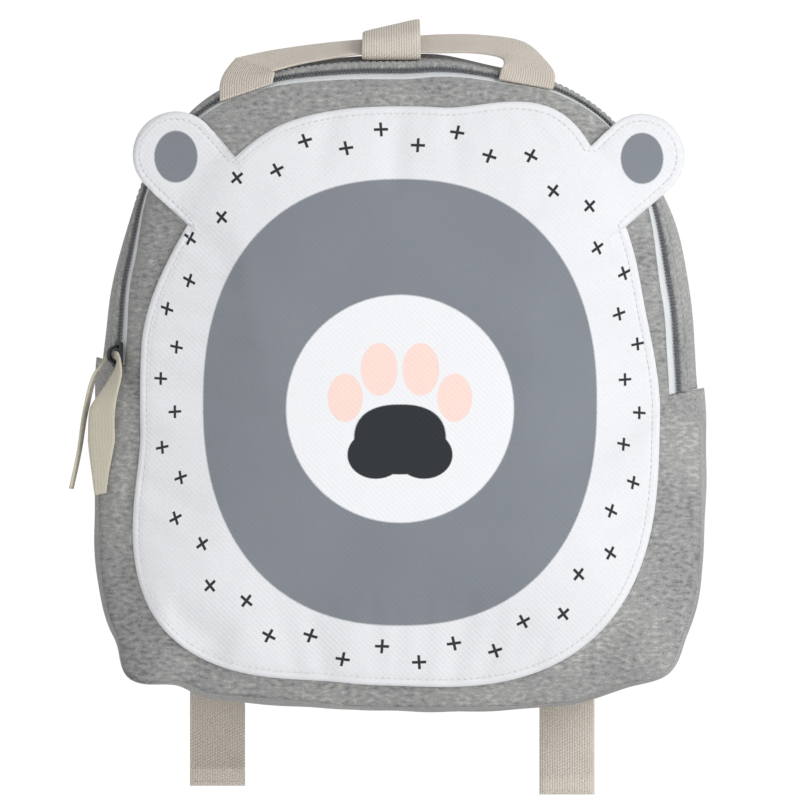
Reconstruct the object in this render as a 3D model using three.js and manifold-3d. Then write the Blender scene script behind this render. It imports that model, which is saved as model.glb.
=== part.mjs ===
// A small child's backpack, hung up by the loop behind its carry handle.
//
// Millimetres, +Z up, the front faces -Y and +X is to the right as one looks at the front.
// The body is a soft box: a domed front panel, a band (gusset) round the edge and a flat back.
// All of them follow one outline, given in polar form round the middle of the bag at the level
// where it is widest. The finished bag is then moved so that the origin is the place inside
// the hang loop where a hook bears.

import * as THREE from 'three';
import Module from 'manifold-3d';

const { PI, abs, asin, atan2, cos, hypot, max, min, sin } = Math;

// Body of the bag
const BAG_WIDTH = 281;
const BELLY_TO_TOP = 184;
const BELLY_TO_BASE = 118;
const TOP_ROUNDNESS = 2.6;
const BASE_ROUNDNESS = 4.2;
const GUSSET_DEPTH_TOP = 68;
const GUSSET_DEPTH_BASE = 84;
const FRONT_DOME = 17;
const BACK_CROWN = 6;
const FRONT_WALL = 2.6;
const GUSSET_WALL = 2.4;
const BACK_WALL = 3;
const CLEARANCE = 0.3;

// Seams, as distances inside the silhouette
const ZIP_SEAM_INSET = 12;
const LOW_SEAM_INSET = 2.6;
const BACK_SEAM_INSET = 8;
const ZIP_END_STEP = 3;

// Zip, which runs over the top from one side to the other
const ZIP_END_LEFT = 45;
const ZIP_END_RIGHT = 31;
const ZIP_TAPE_THICKNESS = 1;
const ZIP_COIL_HEIGHT = 1.5;
const LIP_THICKNESS = 1.8;
const SLIDER_WIDTH = 7.6;
const SLIDER_LENGTH = 11.4;
const SLIDER_THICKNESS = 2;
const SLIDER_ABOVE_END = 4;
const EYE_RADIUS = 3.2;
const EYE_WALL = 1.3;
const PULL_WIDTH = 13;
const PULL_THICKNESS = 1.3;
const PULL_LENGTH = 64;
const PULL_STAND_OFF = 2.6;

// Sewn-on panel with two ears, which keeps its share of the bag's front
const APPLIQUE_WIDTH = BAG_WIDTH * 0.847;
const APPLIQUE_HEIGHT = (BELLY_TO_TOP + BELLY_TO_BASE) * 0.8775;
const APPLIQUE_LIFT = 27;
const APPLIQUE_ROUNDNESS = 2.45;
const APPLIQUE_THICKNESS = 1.6;
const APPLIQUE_GAP = 0.8;

// Webbing and straps
const WEBBING_WIDTH = 25.5;
const WEBBING_THICKNESS = 1.5;
const HANDLE_LIFT = 4;
const LOOP_WIDTH = 27;
const LOOP_MIDDLE = -4;
const LOOP_RISE = 13;
const LOOP_SLACK = 2.8;
const LOOP_ROLL = 0.23;
const STRAP_WIDTH_TOP = 52;
const STRAP_WIDTH_LOW = 40;
const STRAP_THICKNESS = 10;
const STRAP_EDGE = 1.8;
const STRAP_TOP_SPREAD = BAG_WIDTH * 0.327;
const STRAP_TOP_DROP = 44;
const STRAP_BOW = 24;
const TAIL_SPREAD = BAG_WIDTH * 0.577;
const TAIL_SHIFT = -3.6;
const TAIL_BELOW_BASE_LEFT = 36;
const TAIL_BELOW_BASE_RIGHT = 40;
const HEM_LENGTH = 9;
const HEM_THICKNESS = 3.6;
const ADJUSTER_WIDTH = 33;
const ADJUSTER_BAR = 3;
const ADJUSTER_SLOT = 7.5;
const ADJUSTER_THICKNESS = 3;
const ADJUSTER_ABOVE_BASE = 74;
const ADJUSTER_BEHIND = 15;
const WEB_SEWN = 14;

// Lumps and dents of the silhouette: where they are in degrees anticlockwise from the right,
// how far each one reaches to either side, and how far it stands out as a share of BAG_WIDTH.
const OUTLINE_DENTS = [
  { place: 'dip under the handle', at: 76, half: 10, out: -0.010 },
  { place: 'left shoulder', at: 120, half: 20, out: 0.012 },
  { place: 'left base corner', at: 219.5, half: 7, out: 0.027 },
  { place: 'pinch beside it', at: 226.5, half: 5, out: -0.010 },
  { place: 'left half of the base', at: 240, half: 24, out: -0.013 },
  { place: 'right base', at: 312, half: 9, out: -0.009 },
  { place: 'right base corner', at: 321, half: 7, out: 0.014 },
];

// Where the front seam lies along the zip, as shares of ZIP_SEAM_INSET.
const ZIP_SEAM_COURSE = [
  { place: 'right end', at: 19, share: 1.40 },
  { place: 'right side', at: 31, share: 1.29 },
  { place: 'right shoulder', at: 58, share: 0.24 },
  { place: 'right end of the handle', at: 75, share: 0.56 },
  { place: 'top', at: 90, share: 1.00 },
  { place: 'left shoulder', at: 132, share: 0.40 },
  { place: 'left side', at: 145, share: 0.87 },
  { place: 'left end', at: 158, share: 1.10 },
];

// Band across the gusset: shares of the way from the front seam to the back seam.
const TAPE_BAND = { from: 0, to: 0.15 };
const COIL_BAND = { from: 0.058, to: 0.102 };
const LIP_BAND = { from: 0.111, to: 0.16, settled: 0.235 };
const SLIDER_SHARE = 0.018;

// Course of the pull's tape: how far it is below the eye of the slider, to the right of it and
// behind it, as shares of PULL_LENGTH, which way its width runs, and its width as a share of
// PULL_WIDTH. The front tail lies over the front panel, so no depth is given for it.
const FRONT_TAIL = [
  { down: 1.00, right: -0.095, across: [1, -0.2, 0.2], width: 0.42 },
  { down: 0.85, right: -0.095, across: [1, -0.25, 0.1], width: 0.62 },
  { down: 0.62, right: -0.088, across: [1, -0.3, 0], width: 1 },
  { down: 0.38, right: -0.078, across: [1, -0.35, 0], width: 0.96 },
];
const SIDE_TAIL = [
  { down: 0.12, right: -0.125, back: 0.015, across: [0.3, 1, 0.3], width: 0.6 },
  { down: 0.40, right: -0.203, back: 0.020, across: [0.15, 1, 0], width: 0.85 },
  { down: 0.70, right: -0.250, back: 0.000, across: [0.1, 1, 0], width: 0.85 },
  { down: 0.96, right: -0.305, back: -0.030, across: [0.1, 1, 0], width: 0.8 },
];

// Lumps and dents of the sewn-on panel, given as for the bag, as shares of APPLIQUE_WIDTH.
const APPLIQUE_SWELLS = [
  { place: 'right side', at: 21, half: 25, out: -0.018 },
  { place: 'right shoulder', at: 61, half: 21, out: 0.056 },
  { place: 'left side', at: 140, half: 29, out: -0.027 },
  { place: 'left base corner', at: 223, half: 36, out: 0.079 },
  { place: 'right base corner', at: 310, half: 44, out: 0.029 },
];

// Ears of that panel: round ends, given by their angle round the panel's middle, the distance
// of their centre from it and their radius, both as shares of APPLIQUE_WIDTH.
const EARS = [
  { place: 'right', at: 44.7, far: 0.655, radius: 0.082 },
  { place: 'left', at: 132.9, far: 0.633, radius: 0.083 },
];

// Course of the carry handle. The front edge and the rear edge of the webbing are given by
// an angle on the outline, a share of the gusset's depth and a height over the cloth, as a
// share of HANDLE_LIFT. The crease is where the left end turns over into the band.
const HANDLE_COURSE = [
  { place: 'left end', front: [108.6, 0.00, 0.45], rear: [117.4, 0.00, 0.45] },
  { place: 'over the zip', front: [108.8, 0.06, 0.95], rear: [115.4, 0.13, 1.50] },
  { place: 'crease', front: [108.6, 0.12, 1.10], rear: [112.4, 0.36, 2.55] },
  { place: 'after the crease', front: [104.9, 0.18, 0.85], rear: [106.5, 0.50, 1.95] },
  { place: 'left of the loop', front: [97.5, 0.25, 0.85], rear: [97.5, 0.58, 1.80] },
  { place: 'in the loop', front: [91.5, 0.28, 0.95], rear: [91.5, 0.61, 1.98] },
  { place: 'right of the loop', front: [84.5, 0.27, 0.90], rear: [84.5, 0.61, 2.60] },
  { place: 'highest', front: [79.0, 0.26, 2.00], rear: [79.0, 0.60, 3.35] },
  { place: 'before the bend', front: [75.6, 0.22, 2.20], rear: [73.5, 0.50, 3.40] },
  { place: 'bend', front: [74.6, 0.13, 1.65], rear: [70.2, 0.32, 2.10] },
  { place: 'over the zip again', front: [75.6, 0.06, 0.95], rear: [67.4, 0.13, 1.40] },
  { place: 'right end', front: [75.8, 0.00, 0.45], rear: [66.8, 0.00, 0.45] },
];

const COLOURS = {
  jersey: 0xa3a4a6,
  applique: 0xecf1f0,
  webbing: 0xccc4b9,
  zip_tape: 0xe6e8e8,
  zip_coil: 0x55585c,
  zip_metal: 0x1c1e21,
  pull_tape: 0xcfc9b7,
  adjuster: 0xc9c3b8,
};

// Small sums

const radians = (degrees) => degrees * PI / 180;
const mix = (a, b, t) => a + (b - a) * t;
const clamp = (t) => min(1, max(0, t));
const smooth = (t) => clamp(t) ** 2 * (3 - 2 * clamp(t));
const range = (count) => Array.from({ length: count }, (_, i) => i);
const shares = (count) => range(count + 1).map((i) => i / count);
const vec = (x, y, z) => new THREE.Vector3(x, y, z);

// Outline of the bag, in polar form

const HALF_WIDTH = BAG_WIDTH / 2;
const BAG_HEIGHT = BELLY_TO_TOP + BELLY_TO_BASE;
const BACK_Y = GUSSET_DEPTH_BASE / 2;

function plainRadius(angle) {
  const [rise, power] = sin(angle) > 0
    ? [BELLY_TO_TOP, TOP_ROUNDNESS] : [BELLY_TO_BASE, BASE_ROUNDNESS];
  return (abs(cos(angle) / HALF_WIDTH) ** power + abs(sin(angle) / rise) ** power) ** (-1 / power);
}

function turn(degrees) {
  return ((degrees % 360) + 360) % 360;
}

function swelling(rows, angle) {
  const at = turn(angle * 180 / PI);
  const reach = (row) => smooth(1 - abs(at - row.at) / row.half);
  return rows.reduce((sum, row) => sum + row.out * reach(row), 0);
}

function dent(angle) {
  return BAG_WIDTH * swelling(OUTLINE_DENTS, angle);
}

// Cosine of the angle between the outline's normal and the ray from the middle, which turns a
// distance square to the outline into one along the ray.
function squareness(angle) {
  const step = 0.01;
  const slope = (plainRadius(angle + step) - plainRadius(angle - step)) / (2 * step);
  return 1 / hypot(1, slope / plainRadius(angle));
}

// Angle at which one side of the outline passes a height over the belly level.
function angleAtHeight(height, side) {
  const share = (height / BELLY_TO_TOP) ** TOP_ROUNDNESS;
  return atan2(height, side * HALF_WIDTH * (1 - share) ** (1 / TOP_ROUNDNESS));
}

const RIGHT_END = angleAtHeight(ZIP_END_RIGHT, 1);
const LEFT_END = angleAtHeight(ZIP_END_LEFT, -1);

function zipSeamInset(angle) {
  const at = angle * 180 / PI;
  const rows = ZIP_SEAM_COURSE;
  if (at <= rows[0].at) return rows[0].share * ZIP_SEAM_INSET;
  const i = rows.findIndex((row) => row.at > at);
  if (i < 0) return rows[rows.length - 1].share * ZIP_SEAM_INSET;
  const t = smooth((at - rows[i - 1].at) / (rows[i].at - rows[i - 1].at));
  return mix(rows[i - 1].share, rows[i].share, t) * ZIP_SEAM_INSET;
}

// The front seam swings out to the silhouette just below each end of the zip.
const SEAM_SWING = radians(7);

function frontInset(angle) {
  const a = radians(turn(angle * 180 / PI));
  const fromEnd = a > PI * 1.5 ? RIGHT_END - (a - 2 * PI) : max(RIGHT_END - a, a - LEFT_END);
  return mix(zipSeamInset(a), LOW_SEAM_INSET, smooth((fromEnd - radians(1)) / SEAM_SWING));
}

function frontSeamY(z) {
  const up = (z + BELLY_TO_BASE) / BAG_HEIGHT;
  return BACK_Y - mix(GUSSET_DEPTH_BASE, GUSSET_DEPTH_TOP, up);
}

// Along the zip the band lies a little inside the lower one, most of all at the zip's ends.
function stepIn(angle) {
  const fromEnd = min(angle - RIGHT_END, LEFT_END - angle);
  return ZIP_END_STEP * (1 - smooth(fromEnd / radians(34)));
}

// Inset of the gusset's face at a share of its depth: it bellies out between its two seams.
function gussetInset(angle, share, extra) {
  const front = frontInset(angle) * max(0, 1 - 2 * share) ** 1.8;
  const back = BACK_SEAM_INSET * max(0, 2 * share - 1) ** 2;
  const belly = extra * (1 - max(0, 1 - 2 * share) ** 2);
  return front + back + belly;
}

// A point on the gusset, raised square to its face. Dents fade towards the back.
function gussetPoint(angle, share, lift, extra = 0) {
  const radiusAt = (s) => plainRadius(angle) + dent(angle) * (1 - 0.5 * s)
    - gussetInset(angle, s, extra) / squareness(angle);
  const yAt = (s, r) => mix(frontSeamY(r * sin(angle)), BACK_Y, s);
  const step = 0.01;
  const [s0, s1] = [max(0, share - step), min(1, share + step)];
  const across = (radiusAt(s1) - radiusAt(s0));
  const along = yAt(s1, radiusAt(s1)) - yAt(s0, radiusAt(s0));
  const length = hypot(across, along);
  const r = radiusAt(share) + lift * along / length;
  const y = yAt(share, radiusAt(share)) - lift * across / length;
  return vec(r * cos(angle), y, r * sin(angle));
}

function upperPoint(angle, share, lift) {
  return gussetPoint(angle, share, lift, stepIn(angle));
}

// Angles round the outline, closer together where the outline has a dent or a corner.
function outlineAngles(from, to, step) {
  const marks = OUTLINE_DENTS.filter((row) => row.half < 10)
    .flatMap((row) => [-1, -0.5, 0, 0.5, 1].map((k) => radians(row.at + k * row.half)));
  const swings = [RIGHT_END, LEFT_END - 2 * PI, LEFT_END, RIGHT_END + 2 * PI]
    .flatMap((end, i) => [0, 0.33, 0.66, 1].map((k) => end + (i % 2 ? 1 : -1) * k * SEAM_SWING * 1.15));
  const count = Math.ceil((to - from) / radians(step));
  const plain = range(count + 1).map((i) => mix(from, to, i / count));
  const near = radians(step * 0.3);
  const special = [...marks, ...swings].filter((a) => a > from + near && a < to - near);
  const kept = plain.filter((a, i) => i === 0 || i === count
    || special.every((s) => abs(s - a) > near));
  return [...kept, ...special].sort((a, b) => a - b)
    .filter((a, i, all) => i === 0 || a - all[i - 1] > radians(0.4));
}

// Closed solids

function solid(points, triangles) {
  const positions = new Float32Array(points.flatMap((p) => [p.x, p.y, p.z]));
  const six = triangles.reduce((sum, [a, b, c]) => sum
    + points[a].dot(points[b].clone().cross(points[c])), 0);
  const faces = six > 0 ? triangles : triangles.map(([a, b, c]) => [a, c, b]);
  const geometry = new THREE.BufferGeometry();
  geometry.setAttribute('position', new THREE.BufferAttribute(positions, 3));
  geometry.setIndex(faces.flat());
  geometry.computeVertexNormals();
  return geometry;
}

// Rings of points from one pole to the other.
function ringSolid(firstPole, rings, lastPole) {
  const count = rings[0].length;
  const points = [firstPole, ...rings.flat(), lastPole];
  const id = (ring, i) => 1 + ring * count + (i % count);
  const triangles = [];
  for (const i of range(count)) {
    triangles.push([0, id(0, i), id(0, i + 1)]);
    triangles.push([points.length - 1, id(rings.length - 1, i + 1), id(rings.length - 1, i)]);
    for (const ring of range(rings.length - 1)) {
      const [a, b, c, d] = [id(ring, i), id(ring, i + 1), id(ring + 1, i + 1), id(ring + 1, i)];
      triangles.push([a, d, c], [a, c, b]);
    }
  }
  return solid(points, triangles);
}

// A strip with two faces, carried from station to station. Each station holds as many points
// on its outer face as on its inner one.
function stripSolid(stations) {
  const width = stations[0].outer.length;
  const loop = 2 * width;
  const points = stations.flatMap(({ outer, inner }) => [...outer, ...[...inner].reverse()]);
  const triangles = [];
  for (const s of range(stations.length - 1)) {
    for (const i of range(loop)) {
      const [a, b] = [s * loop + i, s * loop + ((i + 1) % loop)];
      triangles.push([a, a + loop, b + loop], [a, b + loop, b]);
    }
  }
  for (const [start, first] of [[0, true], [(stations.length - 1) * loop, false]]) {
    for (const i of range(width - 1)) {
      const quad = [start + i, start + i + 1, start + loop - 2 - i, start + loop - 1 - i];
      const [a, b, c, d] = first ? quad : [quad[1], quad[0], quad[3], quad[2]];
      triangles.push([a, b, c], [a, c, d]);
    }
  }
  return solid(points, triangles);
}

// A band along a path. Each stop has a middle, a direction across, a width and a thickness.
// The thickness may swell between the edges, as padding does.
function bandSolid(stops, swell = [1, 1]) {
  const last = stops.length - 1;
  const stations = stops.map((stop, i) => {
    const ahead = stops[min(last, i + 1)].middle.clone().sub(stops[max(0, i - 1)].middle);
    const across = stop.across.clone().normalize();
    const up = across.clone().cross(ahead).normalize();
    const side = swell.map((share, k) => {
      const u = 2 * k / (swell.length - 1) - 1;
      const at = stop.middle.clone().addScaledVector(across, u * stop.width / 2);
      const half = mix(stop.edge ?? stop.thickness, stop.thickness, share) / 2;
      return { outer: at.clone().addScaledVector(up, half), inner: at.addScaledVector(up, -half) };
    });
    return { outer: side.map((p) => p.outer), inner: side.map((p) => p.inner) };
  });
  return stripSolid(stations);
}

function alongCurve(points, t) {
  return new THREE.CatmullRomCurve3(points, false, 'centripetal').getPointAt(t);
}

// Front panel, back panel and the sewn-on panel

const DOME_RINGS = [0.28, 0.5, 0.68, 0.82, 0.92, 0.975, 1];
const BACK_RINGS = [0.4, 0.7, 0.9, 1];
const FULL_TURN = outlineAngles(0, 2 * PI, 6).slice(0, -1);

function frontRadius(angle) {
  return plainRadius(angle) + dent(angle) - frontInset(angle) / squareness(angle);
}

function domeHeight(rho) {
  return FRONT_DOME * (1 - min(1, rho) ** 2.5) ** 0.6;
}

// Depth of the front panel's inner face over any point of the outline's plane.
function frontInnerY(x, z) {
  const rho = hypot(x, z) / frontRadius(atan2(z, x));
  return frontSeamY(z) - CLEARANCE - domeHeight(rho);
}

function frontPanel() {
  const ring = (rho, wall) => FULL_TURN.map((angle) => {
    const r = rho * frontRadius(angle);
    const [x, z] = [r * cos(angle), r * sin(angle)];
    return vec(x, frontSeamY(z) - CLEARANCE - domeHeight(rho) - wall, z);
  });
  const outer = DOME_RINGS.map((rho) => ring(rho, FRONT_WALL));
  const inner = DOME_RINGS.map((rho) => ring(rho, 0)).reverse();
  const pole = (wall) => vec(0, frontInnerY(0, 0) - wall, 0);
  return ringSolid(pole(FRONT_WALL), [...outer, ...inner], pole(0));
}

function backRadius(angle) {
  return plainRadius(angle) + dent(angle) * 0.5 - BACK_SEAM_INSET / squareness(angle);
}

function backOuterY(x, z) {
  const rho = min(1, hypot(x, z) / backRadius(atan2(z, x)));
  return BACK_Y + CLEARANCE + BACK_WALL + BACK_CROWN * (1 - rho ** 3);
}

function backPanel() {
  const ring = (rho, wall) => FULL_TURN.map((angle) => {
    const r = rho * backRadius(angle);
    return vec(r * cos(angle), backOuterY(r * cos(angle), r * sin(angle)) - wall, r * sin(angle));
  });
  const outer = BACK_RINGS.map((rho) => ring(rho, 0));
  const inner = BACK_RINGS.map((rho) => ring(rho, BACK_WALL)).reverse();
  const pole = (wall) => vec(0, backOuterY(0, 0) - wall, 0);
  return ringSolid(pole(0), [...outer, ...inner], pole(BACK_WALL));
}

// Outline of the sewn-on panel round its own middle: a rounded field and two ears.
function fieldRadius(angle) {
  const power = APPLIQUE_ROUNDNESS;
  const plain = (abs(cos(angle) * 2 / APPLIQUE_WIDTH) ** power
    + abs(sin(angle) * 2 / APPLIQUE_HEIGHT) ** power) ** (-1 / power);
  return plain + APPLIQUE_WIDTH * swelling(APPLIQUE_SWELLS, angle);
}

const earHalf = (ear) => asin(ear.radius / ear.far);
const EAR_FLANK = 1.03;

// How far an ear stands out over the field: its far side is round, its flanks run radially.
function earReach(angle) {
  return max(0, ...EARS.map((ear) => {
    const off = abs(angle - radians(ear.at));
    if (off >= earHalf(ear) * mix(1, EAR_FLANK, 0.5)) return 0;
    const across = ear.far * sin(min(off, earHalf(ear)));
    const reach = ear.far * cos(off) + max(0, ear.radius ** 2 - across ** 2) ** 0.5;
    return APPLIQUE_WIDTH * reach - fieldRadius(angle);
  }));
}

function appliqueAngles() {
  const count = 54;
  const plain = range(count).map((i) => 2 * PI * i / count);
  const half = [0, 0.2, 0.4, 0.57, 0.72, 0.84, 0.93, 1, EAR_FLANK];
  const steps = [...half.slice(1).map((k) => -k).reverse(), ...half];
  const near = EARS.flatMap((ear) => steps.map((k) => radians(ear.at) + k * earHalf(ear)));
  const clear = (a) => EARS.every((ear) => abs(a - radians(ear.at)) > earHalf(ear) + radians(1.5));
  return [...plain.filter(clear), ...near].sort((a, b) => a - b);
}

// The ears leave the dome along its slope instead of following it down to the seam.
function appliqueBackY(x, z, earShare) {
  const rho = hypot(x, z) / frontRadius(atan2(z, x));
  const leave = 0.82;
  const slope = (domeHeight(leave + 0.01) - domeHeight(leave - 0.01)) / 0.02;
  const straight = domeHeight(leave) + slope * (rho - leave);
  const height = rho < leave ? domeHeight(rho) : mix(domeHeight(rho), straight, earShare);
  return frontSeamY(z) - CLEARANCE - FRONT_WALL - APPLIQUE_GAP - height;
}

function appliquePanel() {
  const rings = [0.28, 0.5, 0.68, 0.82, 0.92, 1];
  const angles = appliqueAngles();
  const ring = (rho, thickness) => angles.map((angle) => {
    const r = rho * fieldRadius(angle) + rho ** 6 * earReach(angle);
    const [x, z] = [r * cos(angle), APPLIQUE_LIFT + r * sin(angle)];
    const earShare = smooth((r - 0.97 * fieldRadius(angle)) / (0.06 * APPLIQUE_WIDTH));
    return vec(x, appliqueBackY(x, z, earShare) - thickness, z);
  });
  const front = rings.map((rho) => ring(rho, APPLIQUE_THICKNESS));
  const back = rings.map((rho) => ring(rho, 0)).reverse();
  const pole = (thickness) => vec(0, appliqueBackY(0, APPLIQUE_LIFT, 0) - thickness, APPLIQUE_LIFT);
  return ringSolid(pole(APPLIQUE_THICKNESS), [...front, ...back], pole(0));
}

// Gusset and zip

const END_GAP = CLEARANCE / HALF_WIDTH;
const ZIP_ANGLES = outlineAngles(RIGHT_END, LEFT_END, 6);

function zipTape() {
  return stripSolid(ZIP_ANGLES.map((angle) => {
    const at = [TAPE_BAND.from, mix(TAPE_BAND.from, TAPE_BAND.to, 0.5), TAPE_BAND.to];
    return {
      outer: at.map((s) => upperPoint(angle, s, 0)),
      inner: at.map((s) => upperPoint(angle, s, -ZIP_TAPE_THICKNESS)),
    };
  }));
}

function zipCoil() {
  return stripSolid(ZIP_ANGLES.map((angle) => {
    const at = [COIL_BAND.from, mix(COIL_BAND.from, COIL_BAND.to, 0.5), COIL_BAND.to];
    const top = [0.7, 1, 0.7].map((k) => CLEARANCE + k * ZIP_COIL_HEIGHT);
    return {
      outer: at.map((s, i) => upperPoint(angle, s, top[i])),
      inner: at.map((s) => upperPoint(angle, s, CLEARANCE)),
    };
  }));
}

function gussetTop() {
  const at = [LIP_BAND.from, LIP_BAND.to, LIP_BAND.settled, 0.36, 0.5, 0.64, 0.78, 0.9, 1];
  return stripSolid(ZIP_ANGLES.map((angle) => {
    const off = (s) => 1 - smooth((s - LIP_BAND.to) / (LIP_BAND.settled - LIP_BAND.to));
    return {
      outer: at.map((s) => upperPoint(angle, s, off(s) * (CLEARANCE + LIP_THICKNESS))),
      inner: at.map((s) => upperPoint(angle, s, mix(-GUSSET_WALL, CLEARANCE, off(s)))),
    };
  }));
}

function gussetLower() {
  const at = [0, 0.1, 0.22, 0.36, 0.5, 0.64, 0.78, 0.9, 1];
  const angles = outlineAngles(LEFT_END + END_GAP, RIGHT_END + 2 * PI - END_GAP, 6);
  return stripSolid(angles.map((angle) => ({
    outer: at.map((s) => gussetPoint(angle, s, 0)),
    inner: at.map((s) => gussetPoint(angle, s, -GUSSET_WALL)),
  })));
}

// Zip slider, at the left end of the zip, and the tape looped through its eye. The pull's
// weight has turned it off the coil and over the front seam.

const SLIDER_ANGLE = LEFT_END - SLIDER_ABOVE_END / HALF_WIDTH;

function sliderFrame() {
  const foot = CLEARANCE * 2 + ZIP_COIL_HEIGHT;
  const at = (turned, moved) => upperPoint(SLIDER_ANGLE + turned, SLIDER_SHARE + moved, foot);
  const reach = SLIDER_LENGTH / 2 / HALF_WIDTH;
  const along = at(reach, 0).sub(at(-reach, 0)).normalize();
  const normal = along.clone().cross(at(0, 0.02).sub(at(0, -0.02))).normalize();
  if (normal.x > 0) normal.negate();
  const across = along.clone().cross(normal);
  return { origin: at(0, 0), across, along, normal };
}

async function joined(geometries) {
  const wasm = await Module();
  wasm.setup();
  const bodies = geometries.map((geometry) => {
    const index = new Map();
    const [vertices, triangles] = [[], []];
    const source = geometry.index ? geometry.toNonIndexed() : geometry;
    const position = source.getAttribute('position');
    for (const i of range(position.count)) {
      const point = [position.getX(i), position.getY(i), position.getZ(i)];
      const key = point.map((v) => v.toFixed(4)).join(' ');
      if (!index.has(key)) index.set(key, vertices.push(point) - 1);
      triangles.push(index.get(key));
    }
    const real = range(triangles.length / 3).map((i) => triangles.slice(3 * i, 3 * i + 3))
      .filter(([a, b, c]) => a !== b && b !== c && a !== c);
    return new wasm.Manifold(new wasm.Mesh({
      numProp: 3,
      vertProperties: new Float32Array(vertices.flat()),
      triVerts: new Uint32Array(real.flat()),
    }));
  });
  const mesh = bodies.reduce((sum, body) => sum.add(body)).getMesh();
  const geometry = new THREE.BufferGeometry();
  geometry.setAttribute('position', new THREE.BufferAttribute(mesh.vertProperties, 3));
  geometry.setIndex(new THREE.BufferAttribute(mesh.triVerts, 1));
  return geometry;
}

// In the slider's own frame: x across the zip, y along it and z away from the bag.
async function zipSlider() {
  const [w, l] = [SLIDER_WIDTH / 2, SLIDER_LENGTH / 2];
  const plan = new THREE.Shape();
  plan.moveTo(-w * 0.62, -l);
  plan.lineTo(w * 0.62, -l);
  plan.quadraticCurveTo(w * 0.8, -l * 0.2, w, l * 0.45);
  plan.quadraticCurveTo(w, l, w * 0.5, l);
  plan.lineTo(-w * 0.5, l);
  plan.quadraticCurveTo(-w, l, -w, l * 0.45);
  plan.quadraticCurveTo(-w * 0.8, -l * 0.2, -w * 0.62, -l);
  const plate = new THREE.ExtrudeGeometry(plan, {
    depth: SLIDER_THICKNESS, bevelEnabled: false, curveSegments: 5,
  });
  const outer = EYE_RADIUS + EYE_WALL;
  const arch = new THREE.Shape();
  arch.absarc(0, 0, outer, 0, PI);
  arch.lineTo(-EYE_RADIUS, 0);
  arch.absarc(0, 0, EYE_RADIUS, PI, 0, true);
  const bridge = new THREE.ExtrudeGeometry(arch, {
    depth: SLIDER_WIDTH * 0.36, bevelEnabled: false, curveSegments: 8,
  });
  bridge.translate(0, 0, -SLIDER_WIDTH * 0.18);
  bridge.rotateX(PI / 2).rotateZ(PI / 2);
  bridge.translate(0, 0, SLIDER_THICKNESS - 0.4);
  return joined([plate, bridge]);
}

// The tape comes up in front of the bag, goes through the slider's eye and hangs down again
// at the side, where it stands off the bag and shows its edge.
function zipPull() {
  const { origin, across, along, normal } = sliderFrame();
  const eye = origin.clone()
    .addScaledVector(normal, SLIDER_THICKNESS + CLEARANCE + PULL_THICKNESS / 2);
  const outwards = across.y > 0 ? across : across.clone().negate();
  const from = ({ down, right, back = 0 }) => vec(right, back, -down)
    .multiplyScalar(PULL_LENGTH).add(eye);
  const overFront = (row) => {
    const at = from(row);
    at.y = frontInnerY(at.x, at.z) - FRONT_WALL - PULL_THICKNESS - PULL_STAND_OFF;
    return { at, across: vec(...row.across), width: row.width };
  };
  const free = (row) => ({ at: from(row), across: vec(...row.across), width: row.width });
  const rows = [
    ...FRONT_TAIL.map(overFront),
    free({ down: 0.16, right: 0.01, back: -0.13, across: [0.7, -0.5, 0.3], width: 0.6 }),
    { at: from({ down: 0.03, right: 0.03, back: -0.09 }), across: along, width: 0.29 },
    { at: eye.clone(), across: along, width: 0.27 },
    { at: eye.clone().addScaledVector(outwards, EYE_RADIUS * 1.25), across: along, width: 0.29 },
    ...SIDE_TAIL.map(free),
  ];
  const curve = new THREE.CatmullRomCurve3(rows.map((row) => row.at), false, 'centripetal');
  return bandSolid(shares(33).map((t) => {
    const i = min(rows.length - 2, Math.floor(t * (rows.length - 1)));
    const f = t * (rows.length - 1) - i;
    const turned = (v) => (v.x + v.y * 0.01 < 0 ? v.clone().negate() : v.clone());
    const [a, b] = [turned(rows[i].across), turned(rows[i + 1].across)];
    return {
      middle: curve.getPoint(t),
      across: a.normalize().lerp(b.normalize(), f),
      width: PULL_WIDTH * mix(rows[i].width, rows[i + 1].width, f),
      thickness: PULL_THICKNESS,
    };
  }));
}

// Carry handle and hang loop

function onCloth([degrees, share, lift]) {
  return upperPoint(radians(degrees), share, lift * HANDLE_LIFT);
}

function carryHandle() {
  const rows = HANDLE_COURSE.map(({ front, rear }) => {
    const [a, b] = [onCloth(front), onCloth(rear)];
    return { middle: a.clone().add(b).multiplyScalar(0.5), across: b.sub(a).normalize() };
  });
  const crease = 2;
  const stretch = (part, steps) => shares(steps).map((t) => ({
    middle: new THREE.CatmullRomCurve3(part.map((r) => r.middle)).getPoint(t),
    across: new THREE.CatmullRomCurve3(part.map((r) => r.across)).getPoint(t),
    width: WEBBING_WIDTH,
    thickness: WEBBING_THICKNESS,
  }));
  return bandSolid([
    ...stretch(rows.slice(0, crease + 1), 6).slice(0, -1),
    ...stretch(rows.slice(crease), 30),
  ]);
}

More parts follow.
